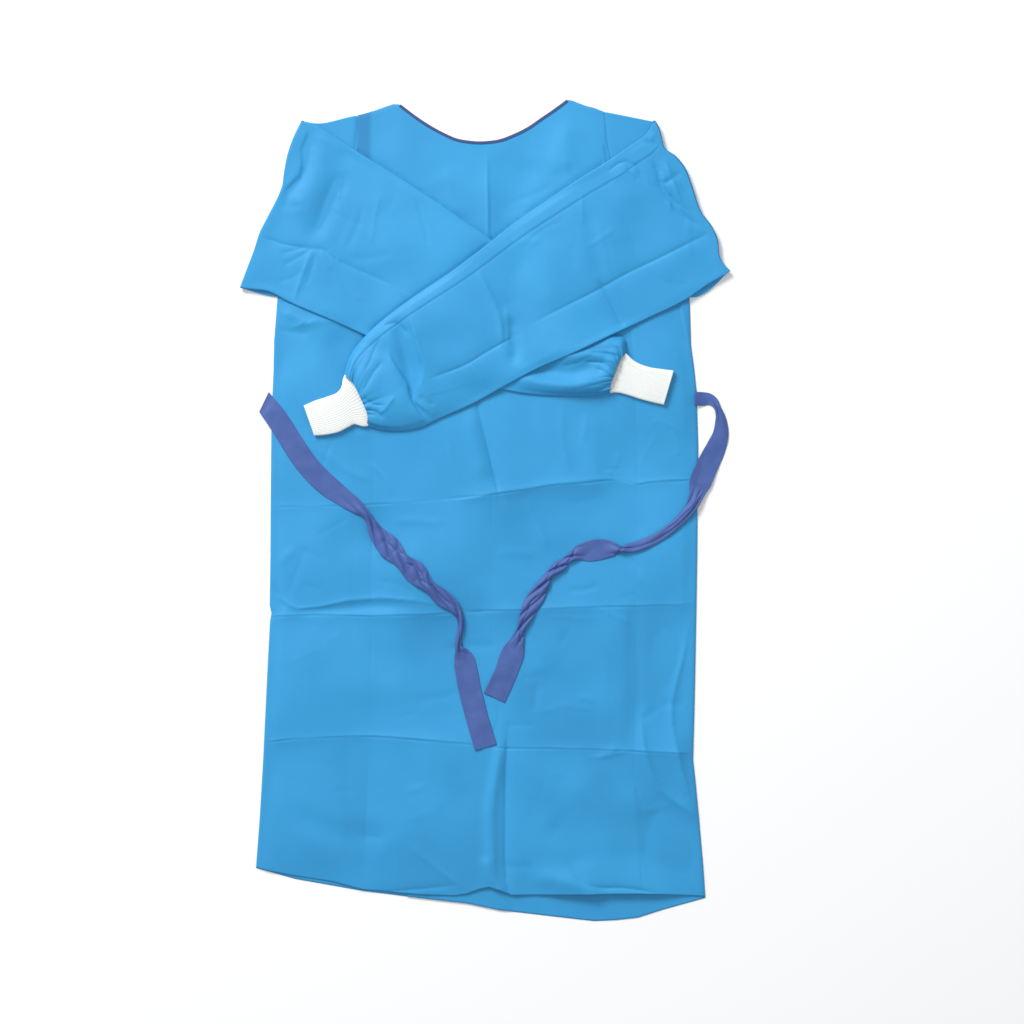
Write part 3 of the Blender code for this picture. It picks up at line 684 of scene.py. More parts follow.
# %% Relief of the front
# The upper edges of the two sleeves as they lie across the chest. Cloth sinks a little beside them.
LEFT_SLEEVE_EDGE = (
    (-372, 652), (-267, 568), (-222, 547), (-188.5, 525), (-130, 489), (-82, 457), (-33, 424), (18, 388),
    (62, 352), (160, 262),
)
RIGHT_SLEEVE_EDGE = (
    (420, 700), (248, 569), (211, 532), (187, 515), (138, 484), (90, 452), (41, 418), (-6, 380),
    (-50, 347), (-92, 319), (-130, 292), (-160, 268), (-183, 245), (-200, 200), (-215, 120),
)
FRONT_CREASES = (
    Crease("tent", -2.2, 4, LEFT_SLEEVE_EDGE),
    Crease("tent", -2.2, 4, RIGHT_SLEEVE_EDGE),
    Crease("tent", 5.4, 32, ((-60, 13), (-10, 20), (7, 24), (53, 31), (102, 39), (143, 42), (175, 46))),
    Crease("tent", 2.6, 18, ((130, 41), (181, 46), (218, 39), (235, 42), (330, 47))),
    Crease("tent", 1.8, 16, ((-360, 4), (-210, 8), (-118, 12), (-40, 18))),
    Crease("tent", 4.2, 24, ((-420, -158), (-291, -153), (-241, -151), (-164, -153), (-72, -150), (0, -147))),
    Crease("tent", 4.6, 34, ((-10, -146), (53, -144), (100, -142), (150, -140), (190, -139))),
    Crease("tent", 2.2, 16, ((150, -140), (228, -138), (390, -134))),
    Crease("tent", 2.8, 20, ((-400, -342), (-262, -332.5), (-178, -328), (-129, -330), (-26, -339),
                             (20, -345))),
    Crease("tent", 3.0, 20, ((10, -346), (114, -346), (199, -349), (276, -353), (400, -355))),
    Crease("tent", 2.6, 5, ((-330, -112), (-305, -124), (-285, -138), (-273, -143), (-241, -140),
                            (-200, -131), (-152, -127), (-104, -131), (-50, -140))),
    Crease("ridge", -2.2, 8, ((-290, -147), (-240, -146), (-160, -139), (-100, -141))),
    Crease("tent", -2.4, 5, ((-318, -100), (-300, -126), (-290, -148))),
    Crease("tent", 2.6, 10, ((3, 620), (3, 500), (4, 440), (4, 360))),
    Crease("ridge", -2.8, 22, ((26, 560), (30, 470), (34, 380))),
    Crease("tent", -3.4, 8, ((-18, 190), (-11.7, 157), (4, 92), (19, 28.5), (26, 0))),
    Crease("ridge", 2.4, 12, ((-24, 150), (-12, 95), (2, 40))),
    Crease("ridge", 4.4, 9, ((26, -320), (18, -375), (9, -430), (9, -480), (14, -550))),
    Crease("tent", -4.6, 7, ((35, -300), (32, -350), (30, -420), (30, -480), (32, -540), (40, -580))),
    Crease("ridge", 3.0, 9, ((-2, -500), (8, -530), (30, -566))),
    Crease("tent", 4.2, 12, ((300, -150), (291, -205), (272, -300), (283.5, -363), (312, -460))),
    Crease("tent", 6.0, 24, ((228, -280), (233, -350), (254, -404), (302, -441), (350, -476))),
    Crease("ridge", -2.4, 13, ((219, -110), (218, -190), (219, -260), (220, -370))),
    Crease("step", 3.2, 14, ((278, 345), (286, 302), (292, 268), (305, 220))),
    Crease("tent", 2.6, 6, ((-322, 306), (-307, 294.5), (-266, 275.5), (-240, 264))),
    Crease("tent", 2.4, 5, ((-290, 264), (-266, 272.6), (-222, 278.4), (-190, 283))),
    Crease("tent", -1.8, 5, ((-312, 268), (-290, 262), (-250, 258))),
    Crease("ridge", -2.6, 20, ((-226, 268), (-200, 210), (-190, 150))),
    Crease("ridge", 2.2, 20, ((150, 150), (160, 80), (150, 10))),
    Crease("tent", 1.4, 5, ((113, 160), (112, 110), (124, 50))),
    Crease("tent", 1.2, 5, ((150, 150), (143, 100), (165, 60), (196, 50))),
    Crease("tent", 0.7, 5, ((228, 110), (252, 132), (276, 122), (284, 86), (262, 76))),
    Crease("tent", 0.7, 6, ((196, 90), (190, 60), (172, 52))),
    Crease("ridge", 1.8, 26, ((-60, 505), (-46, 470), (-40, 420))),
    Crease("ridge", -2.4, 22, ((70, 520), (50, 465), (36, 420))),
    Crease("ridge", 2.6, 20, ((118, 575), (112, 530), (120, 490))),
    Crease("ridge", 4.2, 14, ((60, -532), (110, -540), (150, -552), (165, -590))),
    Crease("tent", -3.4, 8, ((118, -505), (133, -530), (150, -545), (206, -551), (262, -560))),
    Crease("ridge", -2.4, 18, ((-300, -430), (-220, -470), (-120, -470))),
    Crease("tent", -2.0, 7, ((-190, -560), (-100, -553), (-30, -546))),
    Crease("tent", 2.2, 9, ((-120, -480), (-60, -530), (-20, -560))),
    Crease("ridge", 2.4, 26, ((110, -390), (180, -430), (260, -420))),
    Crease("ridge", -2.2, 22, ((90, -450), (130, -490), (140, -530))),
    Crease("ridge", 2.2, 28, ((-250, -240), (-180, -260), (-90, -250))),
    Crease("ridge", -2.2, 30, ((-240, -60), (-160, -30), (-90, -60))),
    Crease("ridge", 2.2, 28, ((60, -60), (140, -30), (210, -60))),
    Crease("ridge", -2.2, 28, ((70, -230), (120, -260), (180, -240))),
    Crease("tent", 1.6, 6, ((-245, 95), (-205, 60), (-160, 40))),
    Crease("tent", 1.6, 6, ((52, 20), (80, -20), (92, -60))),
    Crease("tent", -1.4, 7, ((150, -40), (205, -62), (232, -96))),
    *small_creases(11, 60, (-300, -520), (300, 150), heights=(0.35, 1.0)),
    *small_creases(12, 14, (-110, 420), (150, 560), heights=(0.25, 0.7)),
)


def seam_fold(distance, depth, reach=2.2):
    """How far cloth dips beside a seam: depth times exp(-(distance/reach)^2)."""
    return depth * np.exp(-((np.maximum(distance, 0) / reach) ** 2))


def fold_lines(column, y):
    """Fine grooves pressed beside the packing folds, exp(-(d/w)^2) deep, uneven along their length."""
    total = np.zeros_like(column)
    for number, fold in enumerate((CHEST_FOLD, THIGH_FOLD, SHIN_FOLD)):
        beside = y - line_value(fold, column) + 1.6
        uneven = 0.6 + 0.4 * np.sin(column / 31 + 2.1 * number) * np.sin(column / 14 + number)
        total -= 0.95 * uneven * np.exp(-((beside / 1.6) ** 2))
    for number, fold in enumerate(LENGTH_FOLDS):
        beside = column - fold - 1.6
        uneven = np.clip(0.4 + 0.6 * np.sin(y / 47 + 1.7 * number) * np.sin(y / 19 + number), 0, 1)
        total -= 0.25 * uneven * np.exp(-((beside / 1.8) ** 2))
    return total


def front_level(x, y, column, step):
    """Height of the front's upper face: its layer, the folds, the lifted hem and the turned side edges."""
    over_backs = LAYER * smooth_step(-158, -112, column) * (1 - smooth_step(24, 70, column))
    relief = crease_relief(x, y, FRONT_CREASES) + swell(x, y, 3, 0.8) + patch_relief(column, step)
    relief += fold_lines(column, y)
    side = np.minimum((column - SIDE_LEFT[-1][1]), (SIDE_RIGHT[-1][1] - column))
    calm = smooth_step(-4, 22, side) * (1 - smooth_step(3.86, 4.0, step))
    above_hem = y - hem_edge(column, FRONT_HEM)
    mouth = smooth_step(50, 150, column) * (1 - smooth_step(215, 300, column))
    lift = 7.0 * mouth * (1 - smooth_step(0, 62, above_hem))
    turned = 1.9 * (1 - np.sqrt(np.clip(1 - (1 - np.clip(side / 5.0, 0, 1)) ** 2, 0, 1)))
    floor = FRONT_TOP - LAYER - turned * 0.9
    return np.maximum(FRONT_TOP + over_backs + relief * calm + lift - turned, floor + 0.45 * over_backs)


# %% Making the front
left_side, right_side = SIDE_LEFT[-1][1], SIDE_RIGHT[-1][1]


def under_neckline(column):
    """True on the columns that end at the neck binding."""
    return (column > NECKLINE[0][0]) & (column < NECKLINE[-1][0])


def inside_top(columns):
    """Y of a panel's own upper edge: set in under the neck binding, and close to the seam elsewhere."""
    set_in = np.where(under_neckline(columns), UNDER_BINDING, PANEL_GAP)
    return np.maximum(top_edge(columns) - set_in, UNDERARM_Y + 0.8)


columns = between((left_side, *LENGTH_FOLDS, right_side), COLUMNS_BETWEEN_FOLDS)
panel_top = inside_top(columns)
x, y, column, step = body_places(columns, hem_edge(columns, FRONT_HEM), panel_top)
z = front_level(x, y, column, step)
below_top = panel_top[None] - y
bound = under_neckline(column).astype(float)
z -= seam_fold(below_top, 0.6) * (1 - bound)
front_grid = np.stack([x, y, z], axis=-1)

# The hem is turned under: a few more rows run back up inside it.
hem_turn = np.stack([front_grid[6], front_grid[3], front_grid[0]])
hem_turn[:, :, 2] -= np.array([1.0, 0.9, 0.45])[:, None]
hem_turn[2, :, 1] -= 0.25
front_grid = np.concatenate([hem_turn, front_grid])
front_grid[..., 2] = np.maximum(front_grid[..., 2], 0.1)

seam = np.exp(-np.minimum(column - left_side, right_side - column) / 2.5)
seam = np.maximum(seam, np.exp(-below_top / 2.5) * (1 - bound))
seam = np.concatenate([np.zeros_like(seam[:3]), seam])
band = smooth_step(-191, -185, x) * (1 - smooth_step(-172, -162, x)) * smooth_step(470, 500, y) * 0.75
band = np.concatenate([np.zeros_like(band[:3]), band])
front = cloth_piece("gown_front", front_grid, 0, gown_cloth, doubled=band, seam=seam)
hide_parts("front")
lay_down(front_grid)

# %% [markdown]
# ## The backs
#
# The gown opens down the back. As laid out, the right half is the wider, and it laps over the left one.
# Their outer faces rest on the surface, so their creases only lift away from it.

# %% Making the backs
BACK_CREASES = (
    Crease("tent", 1.0, 12, ((-340, 4), (-118, 12.4), (102, 39), (340, 46))),
    Crease("tent", 1.0, 12, ((-340, -158), (-72, -150), (137, -140), (340, -134))),
    Crease("tent", 1.0, 12, ((-340, -341), (-79, -335), (114, -346), (340, -355))),
    Crease("tent", 0.9, 8, ((150, 560), (158, 300), (166, 0), (172, -300), (176, -560))),
    Crease("tent", 0.9, 8, ((-165, 560), (-168, 300), (-172, 0), (-178, -300), (-182, -540))),
    *[crease._replace(height=abs(crease.height))
      for crease in small_creases(21, 40, (-300, -560), (300, 520))],
)
BACK_ROWS = (42, 36, 34, 66)


def back_level(x, y, column, base):
    """Height of a back's upper face over its base, never pressed into the surface."""
    side = np.minimum((column - left_side), (right_side - column))
    relief = crease_relief(x, y, BACK_CREASES) + np.abs(swell(x, y, 5, 0.12))
    return base + CLOTH + np.minimum(relief, 0.95) * smooth_step(0, 20, side)


def make_back(name, node, low_column, high_column, base):
    columns = np.linspace(low_column, high_column, int((high_column - low_column) / 5.0))
    top = inside_top(columns)
    x, y, column, _ = body_places(columns, hem_edge(columns, BACK_HEM), top, BACK_ROWS)
    z = back_level(x, y, column, base(column))
    bound = under_neckline(column).astype(float)
    z += 0.45 * bound * (1 - smooth_step(2, 14, top[None] - y))
    grid = np.stack([x, y, z], axis=-1)
    seam = np.exp(-np.minimum(column - left_side, right_side - column) / 4.0)
    piece = cloth_piece(name, grid, CLOTH, gown_cloth, seam=seam)
    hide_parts(node)
    return piece


back_left = make_back("gown_back_left", "back_left", left_side, OVERLAP_RIGHT, np.zeros_like)
back_right = make_back(
    "gown_back_right", "back_right", OVERLAP_LEFT, right_side,
    lambda column: LAYER * (1 - smooth_step(OVERLAP_RIGHT + 2, OVERLAP_RIGHT + 22, column)),
)

# %% [markdown]
# ## The neck binding
#
# A narrow tape is folded over the raw edge and sewn through. Its section is two straight legs joined by a
# half circle round the edge, carried along the neckline.

# %% Binding
STRIP = 0.3


def folded_strip(path, inwards, edge_level, half_gap):
    """Rows of a strip folded over an edge: up one side, round the edge on a half circle, down the other.

    Its section is two straight legs at half_gap above and below the edge's own level.
    """
    turn = np.linspace(-np.pi / 2, np.pi / 2, 9)
    legs = np.linspace(BINDING_WIDTH, half_gap, 6)
    sideways = np.concatenate([legs[:-1], half_gap * (1 - np.cos(turn)), legs[::-1][1:]])
    up = np.concatenate([np.full(5, -half_gap), half_gap * np.sin(turn), np.full(5, half_gap)])
    points = np.zeros((len(path), len(up), 3))
    points[..., :2] = path[:, None] + inwards[:, None] * sideways[None, :, None]
    points[..., 2] = edge_level[:, None] + up[None]
    return points


def inward_normals(path):
    """Unit vectors to the right of a path that runs in +X, which is down into the panel here."""
    along = np.gradient(path, axis=0)
    along /= np.linalg.norm(along, axis=1, keepdims=True)
    return np.stack([along[:, 1], -along[:, 0]], axis=1)


def make_binding(name, node, low_x, high_x, level, half_gap):
    path = smooth_curve(NECKLINE, np.linspace(0, 1, 220))
    path = path[(path[:, 0] >= low_x - 0.1) & (path[:, 0] <= high_x + 0.1)]
    grid = folded_strip(path, inward_normals(path), level(path[:, 0], path[:, 1] - 3), half_gap)
    piece = cloth_piece(name, grid, STRIP, neck_tape)
    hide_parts(node)
    return piece


def neck_step(column, y):
    """Row step of a place near the neck, as body_places counts it."""
    fold = line_value(CHEST_FOLD, column)
    return 3 + (y - fold) / (inside_top(column) - fold)


binding_front = make_binding(
    "neck_binding_over", "neck_binding_front", -123, 119,
    lambda x, y: front_level(x, y, x, np.minimum(neck_step(x, y), 3.999)) - CLOTH / 2, 0.85,
)
binding_back_left = make_binding(
    "neck_binding_under_left", "neck_binding_back_left", -123, OVERLAP_RIGHT,
    lambda x, y: np.full_like(x, 0.62), 0.6,
)
binding_back_right = make_binding(
    "neck_binding_under_right", "neck_binding_back_right", OVERLAP_LEFT, 119,
    lambda x, y: 0.62 + LAYER * (1 - smooth_step(OVERLAP_RIGHT + 2, OVERLAP_RIGHT + 22, x)), 0.6,
)

# %% [markdown]
# ## The sleeves
#
# A sleeve is a tube pressed flat. It comes out of the armhole, lies on the surface as far as its fold,
# turns over and comes back over the chest to the cuff, where its width is gathered in. Each row of the
# tables below is a section across it, from the upper edge to the lower edge, with the height that stands
# between the two walls.

# %% Sections of the sleeves
Section = namedtuple("Section", "upper_x upper_y lower_x lower_y height")
LEFT_SLEEVE = (
    Section(-244, 560, -336, 322.5, 3.6),
    Section(-222, 547, -317, 320, 4.0),
    Section(-188.5, 525, -286, 304.5, 4.4),
    Section(-130, 489, -215, 274, 4.8),
    Section(-82, 457, -162, 250, 4.8),
    Section(-33, 424, -110, 229, 4.8),
    Section(18, 388, -55, 206, 5.0),
    Section(62, 352, -8, 187, 5.4),
    Section(102, 318, 32, 175, 7.0),
    Section(136, 288, 76, 169, 10.0),
    Section(164, 263, 114, 167, 13.5),
    Section(192, 256, 148, 167, 14.5),
    Section(205, 247, 170, 169, 12.0),
    Section(206, 229, 183, 173, 7.0),
)
RIGHT_SLEEVE = (
    Section(235, 549, 343, 340, 3.6),
    Section(211, 532, 325, 329.5, 4.0),
    Section(187, 515, 295, 309, 4.4),
    Section(138, 484, 240, 281.5, 4.8),
    Section(90, 452, 186, 256, 5.0),
    Section(41, 418, 132, 230, 5.2),
    Section(-6, 380, 80, 208, 5.6),
    Section(-50, 347, 29, 181, 6.4),
    Section(-92, 319, -18, 155, 8.0),
    Section(-130, 292, -60, 136.5, 10.5),
    Section(-160, 268, -98, 120, 14.0),
    Section(-183, 245, -128, 116, 16.5),
    Section(-199, 220, -154, 118.5, 13.5),
    Section(-205.5, 196, -172, 124, 6.6),
)
LEFT_FOLD = (
    (-357.4, 325), (-348, 350), (-336, 382), (-329, 404), (-317, 428), (-300, 462), (-295.5, 474),
    (-293, 492), (-288, 518), (-279, 545), (-267.5, 568.6),
)
RIGHT_FOLD = (
    (358, 349), (350, 357), (344, 367), (339.5, 396), (332, 413), (316, 435), (302, 474), (291, 502),
    (279, 517), (262, 530), (257, 547), (253, 561), (248.5, 569),
)
Line = namedtuple("Line", "start end")
RIGHT_SEAM_LINE = Line(0.885, 0.90)


# %% [markdown]
# The grid of a sleeve has a ring of points for each section. Its two walls are worked out first: for each
# section a row of places across, and a level for each wall. At the fold both walls go round half circles
# about the same line, so the wall that was underneath comes out on top.

# %% Walls of a sleeve
ARM_ROWS, TURN_ROWS, CHEST_ROWS = 24, 9, 250
ACROSS = between((0.0, 0.3, 0.89, 1.0), (34, 60, 20))


def section_rows(sections, fold, count):
    """Smooth rows of the second stretch: upper and lower ends, heights, and distance from the fold."""
    first = Section(*fold[-1], *fold[0], TURN_RISE)
    table = np.array([first, *sections], float)
    middle = (table[:, 0:2] + table[:, 2:4]) / 2
    rows = smooth_curve(np.column_stack([middle, table]), np.linspace(0, 1, count))
    walked = np.concatenate([[0], np.cumsum(np.linalg.norm(np.diff(rows[:, :2], axis=0), axis=1))])
    return rows[:, 2:4], rows[:, 4:6], rows[:, 6], walked


def end_bow(across, amount):
    """How far a sleeve's end bulges at each place across: nearly even, and nothing at both edges."""
    return amount * (1 - np.abs(2 * across - 1) ** 5)


def end_axis(section):
    """Unit vector along the sleeve at its end, pointing back up the sleeve."""
    upper, lower = np.array(section[0:2], float), np.array(section[2:4], float)
    along = (upper - lower) / np.linalg.norm(upper - lower)
    axis = np.array([-along[1], along[0]])
    return axis if axis[0] * section[0] < 0 else -axis


def chest_places(sections, fold, count, edge_room, bow):
    """Places of the second stretch. Near the fold its rows keep the fold's own bent outline."""
    upper, lower, heights, walked = section_rows(sections, fold, count)
    along = upper - lower
    along /= np.linalg.norm(along, axis=1, keepdims=True)
    upper, lower = upper - along * edge_room, lower + along * edge_room
    places = lower[:, None] + (upper - lower)[:, None] * ACROSS[None, :, None]
    bend = smooth_curve(fold, ACROSS) - (np.array(fold[0]) + np.outer(ACROSS, np.subtract(fold[-1], fold[0])))
    places += bend[None] * np.exp(-walked / 30)[:, None, None]
    bulge = end_bow(ACROSS, bow)[None] * np.exp(-(walked[-1] - walked) / 22)[:, None]
    return places + bulge[..., None] * end_axis(sections[-1]), heights, walked


def arm_places(side, fold, count, dip, sag):
    """Places of the first stretch: straight lines from the armhole seam out to the fold.

    Its upper edge dips towards the fold and its lower edge sags, as loose cloth does.
    """
    seam = armhole(side, 0.004 + 0.992 * ACROSS)
    edge = smooth_curve(fold, 0.004 + 0.992 * ACROSS)
    outward = edge.mean(axis=0) - seam.mean(axis=0)
    outward /= np.linalg.norm(outward)
    turn_radius = (SLEEVE_LEVEL + TURN_RISE) / 2
    centre = edge - outward * turn_radius
    share = crowded(count, 0.8)[:, None, None]
    places = (seam + outward * 0.1)[None] * (1 - share) + centre[None] * share
    places[..., 1] -= dip * np.sin(np.pi * share[..., 0] ** 1.6) * smooth_step(0.7, 1, ACROSS)[None]
    places[..., 1] -= sag * np.sin(np.pi * share[..., 0] ** 0.8) * smooth_step(0.2, 0, ACROSS)[None]
    return places, outward


def crown(height):
    """Height between the walls at each place across: full in the middle, and flat at both edges."""
    least = np.minimum(height, FLAT_SLEEVE + 0.5)
    bulge = (1 - (2 * ACROSS - 1) ** 2) ** 0.75
    return least[:, None] + (height - least)[:, None] * bulge[None]


def sleeve_ring(under, over, edge_room):
    """Closes each section: along one wall, round the edge, back along the other, round the other edge."""
    half = np.linspace(-np.pi / 2, np.pi / 2, 7)[1:-1]

    def edge(low, high, inner):
        outward = (low + high) / 2 - inner
        outward[..., 2] = 0
        outward /= np.linalg.norm(outward, axis=-1, keepdims=True)
        reach = np.minimum(np.linalg.norm(high - low, axis=-1, keepdims=True) / 2, edge_room)
        middle = (low + high) / 2
        return np.stack([
            middle + outward * reach * math.cos(angle) + (high - low) / 2 * math.sin(angle) for angle in half
        ], axis=1)

    far = edge(under[:, -1], over[:, -1], (under[:, -6] + over[:, -6]) / 2)
    near = edge(over[:, 0], under[:, 0], (under[:, 5] + over[:, 5]) / 2)
    return np.concatenate([under, far, over[:, ::-1], near], axis=1)


# %% [markdown]
# Near the cuff the cloth is gathered: its fullness stands in small pleats that start at the cuff's seam
# and run out up the sleeve, each to its own length.

# %% Gathers
def gathers(walked, across, seed, count, reach, depth):
    """Relief of the gathers: sharp valleys that start at the seam and fade as they run up the sleeve.

    Each has its place across, its slant, its half width, its depth and its length, all uneven. A valley
    is exp(-|a - line| / spread) deep, so round lobes stand between sharp grooves.
    """
    rng = np.random.default_rng(seed)
    from_seam = walked[-1] - walked[:, None]
    places = (np.arange(count) + 0.5 + rng.uniform(-0.35, 0.35, count)) / count
    total = np.zeros((len(walked), len(across)))
    for place in places:
        length = reach * rng.uniform(0.25, 1.0)
        width = rng.uniform(0.016, 0.034)
        slant = rng.normal(0, 0.08) + (place - 0.5) * 0.25
        line = place + slant * from_seam / reach
        spread = width * (1 + from_seam / reach * 1.5)
        profile = np.exp(-np.abs(across[None] - line) / spread) - 0.3
        fade = np.exp(-((from_seam / length) ** 2))
        total -= depth * rng.uniform(0.4, 1.0) * profile * fade
    return total


# %% Relief of the sleeves
LEFT_SLEEVE_CREASES = (
    Crease("tent", -3.0, 4, RIGHT_SLEEVE_EDGE),
    Crease("tent", -1.9, 7, ((-365, 414), (-328.9, 400.9), (-292.3, 388.1), (-259.4, 382.6), (-233.9, 378.9),
                             (-219.2, 368), (-160.8, 340.6), (-110, 316))),
    Crease("tent", 2.0, 13, ((-130, 325), (-90, 300), (-30, 276), (20, 250))),
    Crease("step", -5.5, 20, ((-254, 562), (-262, 544), (-266.7, 525.1), (-266, 512.3), (-266, 501.3),
                              (-269.7, 488.5), (-277.7, 479.4), (-286.8, 472.1), (-296, 466.6), (-322, 448))),
    Crease("tent", -2.0, 3, ((-262, 544), (-266.7, 525.1), (-266, 501.3), (-277.7, 479.4), (-296, 466.6))),
    Crease("ridge", 3.6, 20, ((-246, 560), (-243, 515), (-256, 470), (-286, 420))),
    Crease("ridge", 1.4, 12, ((-296, 556), (-250, 549), (-224, 538), (-206, 510))),
    Crease("ridge", -3.3, 13, ((-208, 500), (-213.8, 475.8), (-226.5, 453.8), (-237.5, 424.6), (-258, 388))),
    Crease("tent", 1.2, 4, ((-209, 478), (-212, 466), (-214, 452))),
    Crease("tent", 1.9, 4, ((-249, 388), (-252, 380.8), (-268.6, 336.9), (-277.7, 307.7), (-284, 286))),
    Crease("tent", -1.3, 3, ((-246, 378), (-252, 352), (-262, 325))),
    Crease("tent", -1.4, 3, ((-250, 384), (-266, 372), (-298, 356))),
    Crease("tent", 1.4, 3, ((-240, 382), (-232, 366), (-222, 348))),
    Crease("tent", -1.3, 3, ((-258, 386), (-276, 380), (-300, 374))),
    Crease("tent", 1.3, 3, ((-230, 380), (-220, 370), (-208, 362))),
    Crease("tent", -1.0, 4, ((-262, 352), (-280, 340), (-305, 332))),
    Crease("ridge", 1.2, 30, ((-190, 470), (-150, 400), (-140, 330))),
    Crease("ridge", -1.1, 30, ((-120, 460), (-110, 390), (-118, 320))),
    Crease("ridge", 1.1, 30, ((-60, 400), (-40, 330), (-60, 250))),
    Crease("tent", 0.9, 6, ((-150, 470), (-160, 430), (-168, 380))),
    Crease("ridge", 4.6, 10, ((30, 199), (56, 189.5), (87.7, 184), (127, 180), (164, 182), (184, 178))),
    Crease("ridge", -6.0, 13, ((60, 214), (87.7, 206), (127, 201), (158.7, 206), (184, 196))),
    Crease("ridge", 3.2, 9, ((100, 230), (135, 224), (160, 228), (178, 222))),
    Crease("tent", -3.4, 4, ((150, 231), (167.9, 229), (179.7, 227.7), (190.3, 225), (200, 219))),
    Crease("tent", -3.8, 5, ((140, 217), (156, 215.9), (171.8, 214.5), (182.4, 209.3), (192, 195))),
    Crease("tent", -2.6, 4, ((158, 208), (172, 203), (184, 194), (190, 186))),
    Crease("tent", -2.8, 4, ((160, 172), (169.2, 176.4), (177.1, 180.3), (186, 182))),
    Crease("tent", -1.8, 4, ((160, 225), (145.5, 221), (135, 214.5), (110, 209))),
    *small_creases(31, 14, (-300, 300), (-60, 480), heights=(0.2, 0.6)),
)
RIGHT_SLEEVE_CREASES = (
    Crease("tent", -2.8, 10, ((370, 424), (320, 401), (259, 370.5), (199, 341), (169.5, 324), (126, 302),
                              (50, 262))),
    Crease("tent", -2.6, 9, ((60, 262), (-2.9, 227), (-24.5, 213.5), (-46.1, 204), (-65.1, 197.3),
                             (-90, 188))),
    Crease("tent", -3.4, 5, ((163, 344), (172.5, 325), (188, 296), (203, 265), (210, 246))),
    Crease("tent", 3.0, 8, ((-14, 360), (3, 324), (18.8, 290), (24.2, 262), (24.2, 228))),
    Crease("ridge", -3.2, 9, ((36, 285), (40, 258), (44, 232), (38, 206))),
    Crease("tent", 2.0, 6, ((30, 300), (34, 270), (34, 236))),
    Crease("ridge", -2.0, 13, ((146, 446), (153.5, 416), (164, 370), (176, 330))),
    Crease("ridge", 1.6, 24, ((205, 480), (196, 430), (200, 380))),
    Crease("tent", -4.8, 3.4, ((240, 522), (252, 496), (257, 474), (275, 446), (292, 428), (322, 408))),
    Crease("tent", 3.6, 5, ((260, 520), (272, 484), (286, 446), (306, 424))),
    Crease("tent", -3.2, 2.8, ((254, 482), (264, 478), (296, 500))),
    Crease("tent", -3.2, 2.8, ((262, 466), (280, 448), (312, 430))),
    Crease("tent", 3.0, 3.4, ((252, 500), (268, 468), (272, 432))),
    Crease("tent", -2.0, 2.8, ((174, 490), (194, 506), (206, 509), (222, 502), (236, 470))),
    Crease("tent", 0.9, 4, ((184, 482), (208, 496), (224, 486))),
    Crease("tent", -1.6, 2.6, ((206, 509), (212, 492), (228, 478))),
    Crease("tent", -3.2, 3, ((220, 560), (228, 546), (238, 538), (258, 530))),
    Crease("tent", 2.2, 3.4, ((228, 560), (238, 548), (250, 546))),
    Crease("tent", 2.6, 4, ((296, 470), (310, 440), (318, 416))),
    Crease("tent", -2.6, 3, ((284, 480), (300, 458), (330, 452))),
    Crease("ridge", -1.6, 16, ((60, 380), (40, 330), (46, 280))),
    Crease("ridge", 1.6, 24, ((100, 400), (90, 340), (100, 290))),
    Crease("ridge", 1.8, 26, ((300, 400), (280, 372), (240, 340))),
    Crease("ridge", -5.0, 11, ((-124, 290), (-124.6, 262.2), (-117.8, 237.8), (-112.4, 210.8), (-106, 180),
                               (-98, 150), (-84, 132))),
    Crease("step", 4.6, 22, ((-140, 240), (-132.7, 216.2), (-125.9, 205.4), (-119.1, 194.6), (-112.4, 183.8),
                             (-109.7, 170.2), (-104.3, 156.7), (-94.8, 140.5), (-76, 122))[::-1]),
    Crease("step", 3.8, 26, ((-114, 300), (-111, 278.4), (-102.9, 251.4), (-97.5, 229.7), (-92.1, 210.8),
                             (-93.5, 191.9), (-100.2, 172.9), (-102.4, 159.4), (-93.5, 150), (-84, 143.2),
                             (-68, 124))),
    Crease("tent", -2.8, 5, ((-146, 222), (-151.6, 213.5), (-162.4, 200), (-175.9, 175.6), (-182, 166))),
    Crease("tent", -2.6, 4, ((-182, 160), (-174.6, 162.1), (-162.4, 154), (-144, 152))),
    Crease("tent", -2.6, 4, ((-176, 146), (-166.5, 145.9), (-157, 143.2), (-145, 132))),
    Crease("tent", 2.2, 5, ((-130, 168), (-136, 159.4), (-143.5, 148.6), (-156, 138))),
    Crease("tent", -2.2, 4, ((-148, 262), (-143.5, 270.3), (-130, 273), (-113.7, 259.5), (-110, 250))),
    Crease("tent", -1.8, 4, ((-150, 252), (-158, 240), (-168, 214), (-176, 200))),
    Crease("tent", 1.8, 4, ((-186, 232), (-176, 250), (-160, 270))),
    Crease("tent", -1.8, 4, ((-96, 168), (-84, 158), (-72, 152))),
    *small_creases(41, 16, (-80, 200), (320, 470), heights=(0.25, 0.7)),
)


# %% Making a sleeve
def rings_of(under, over, edge_room, marks):
    """The ring of points of each section, and the marks repeated round it."""
    ring = sleeve_ring(under, over, edge_room)
    edge_points = (ring.shape[1] - 2 * marks.shape[1]) // 2
    far = np.repeat(marks[:, -1:], edge_points, axis=1)
    near = np.repeat(marks[:, :1], edge_points, axis=1)
    return ring, np.concatenate([marks, far, marks[:, ::-1], near], axis=1)


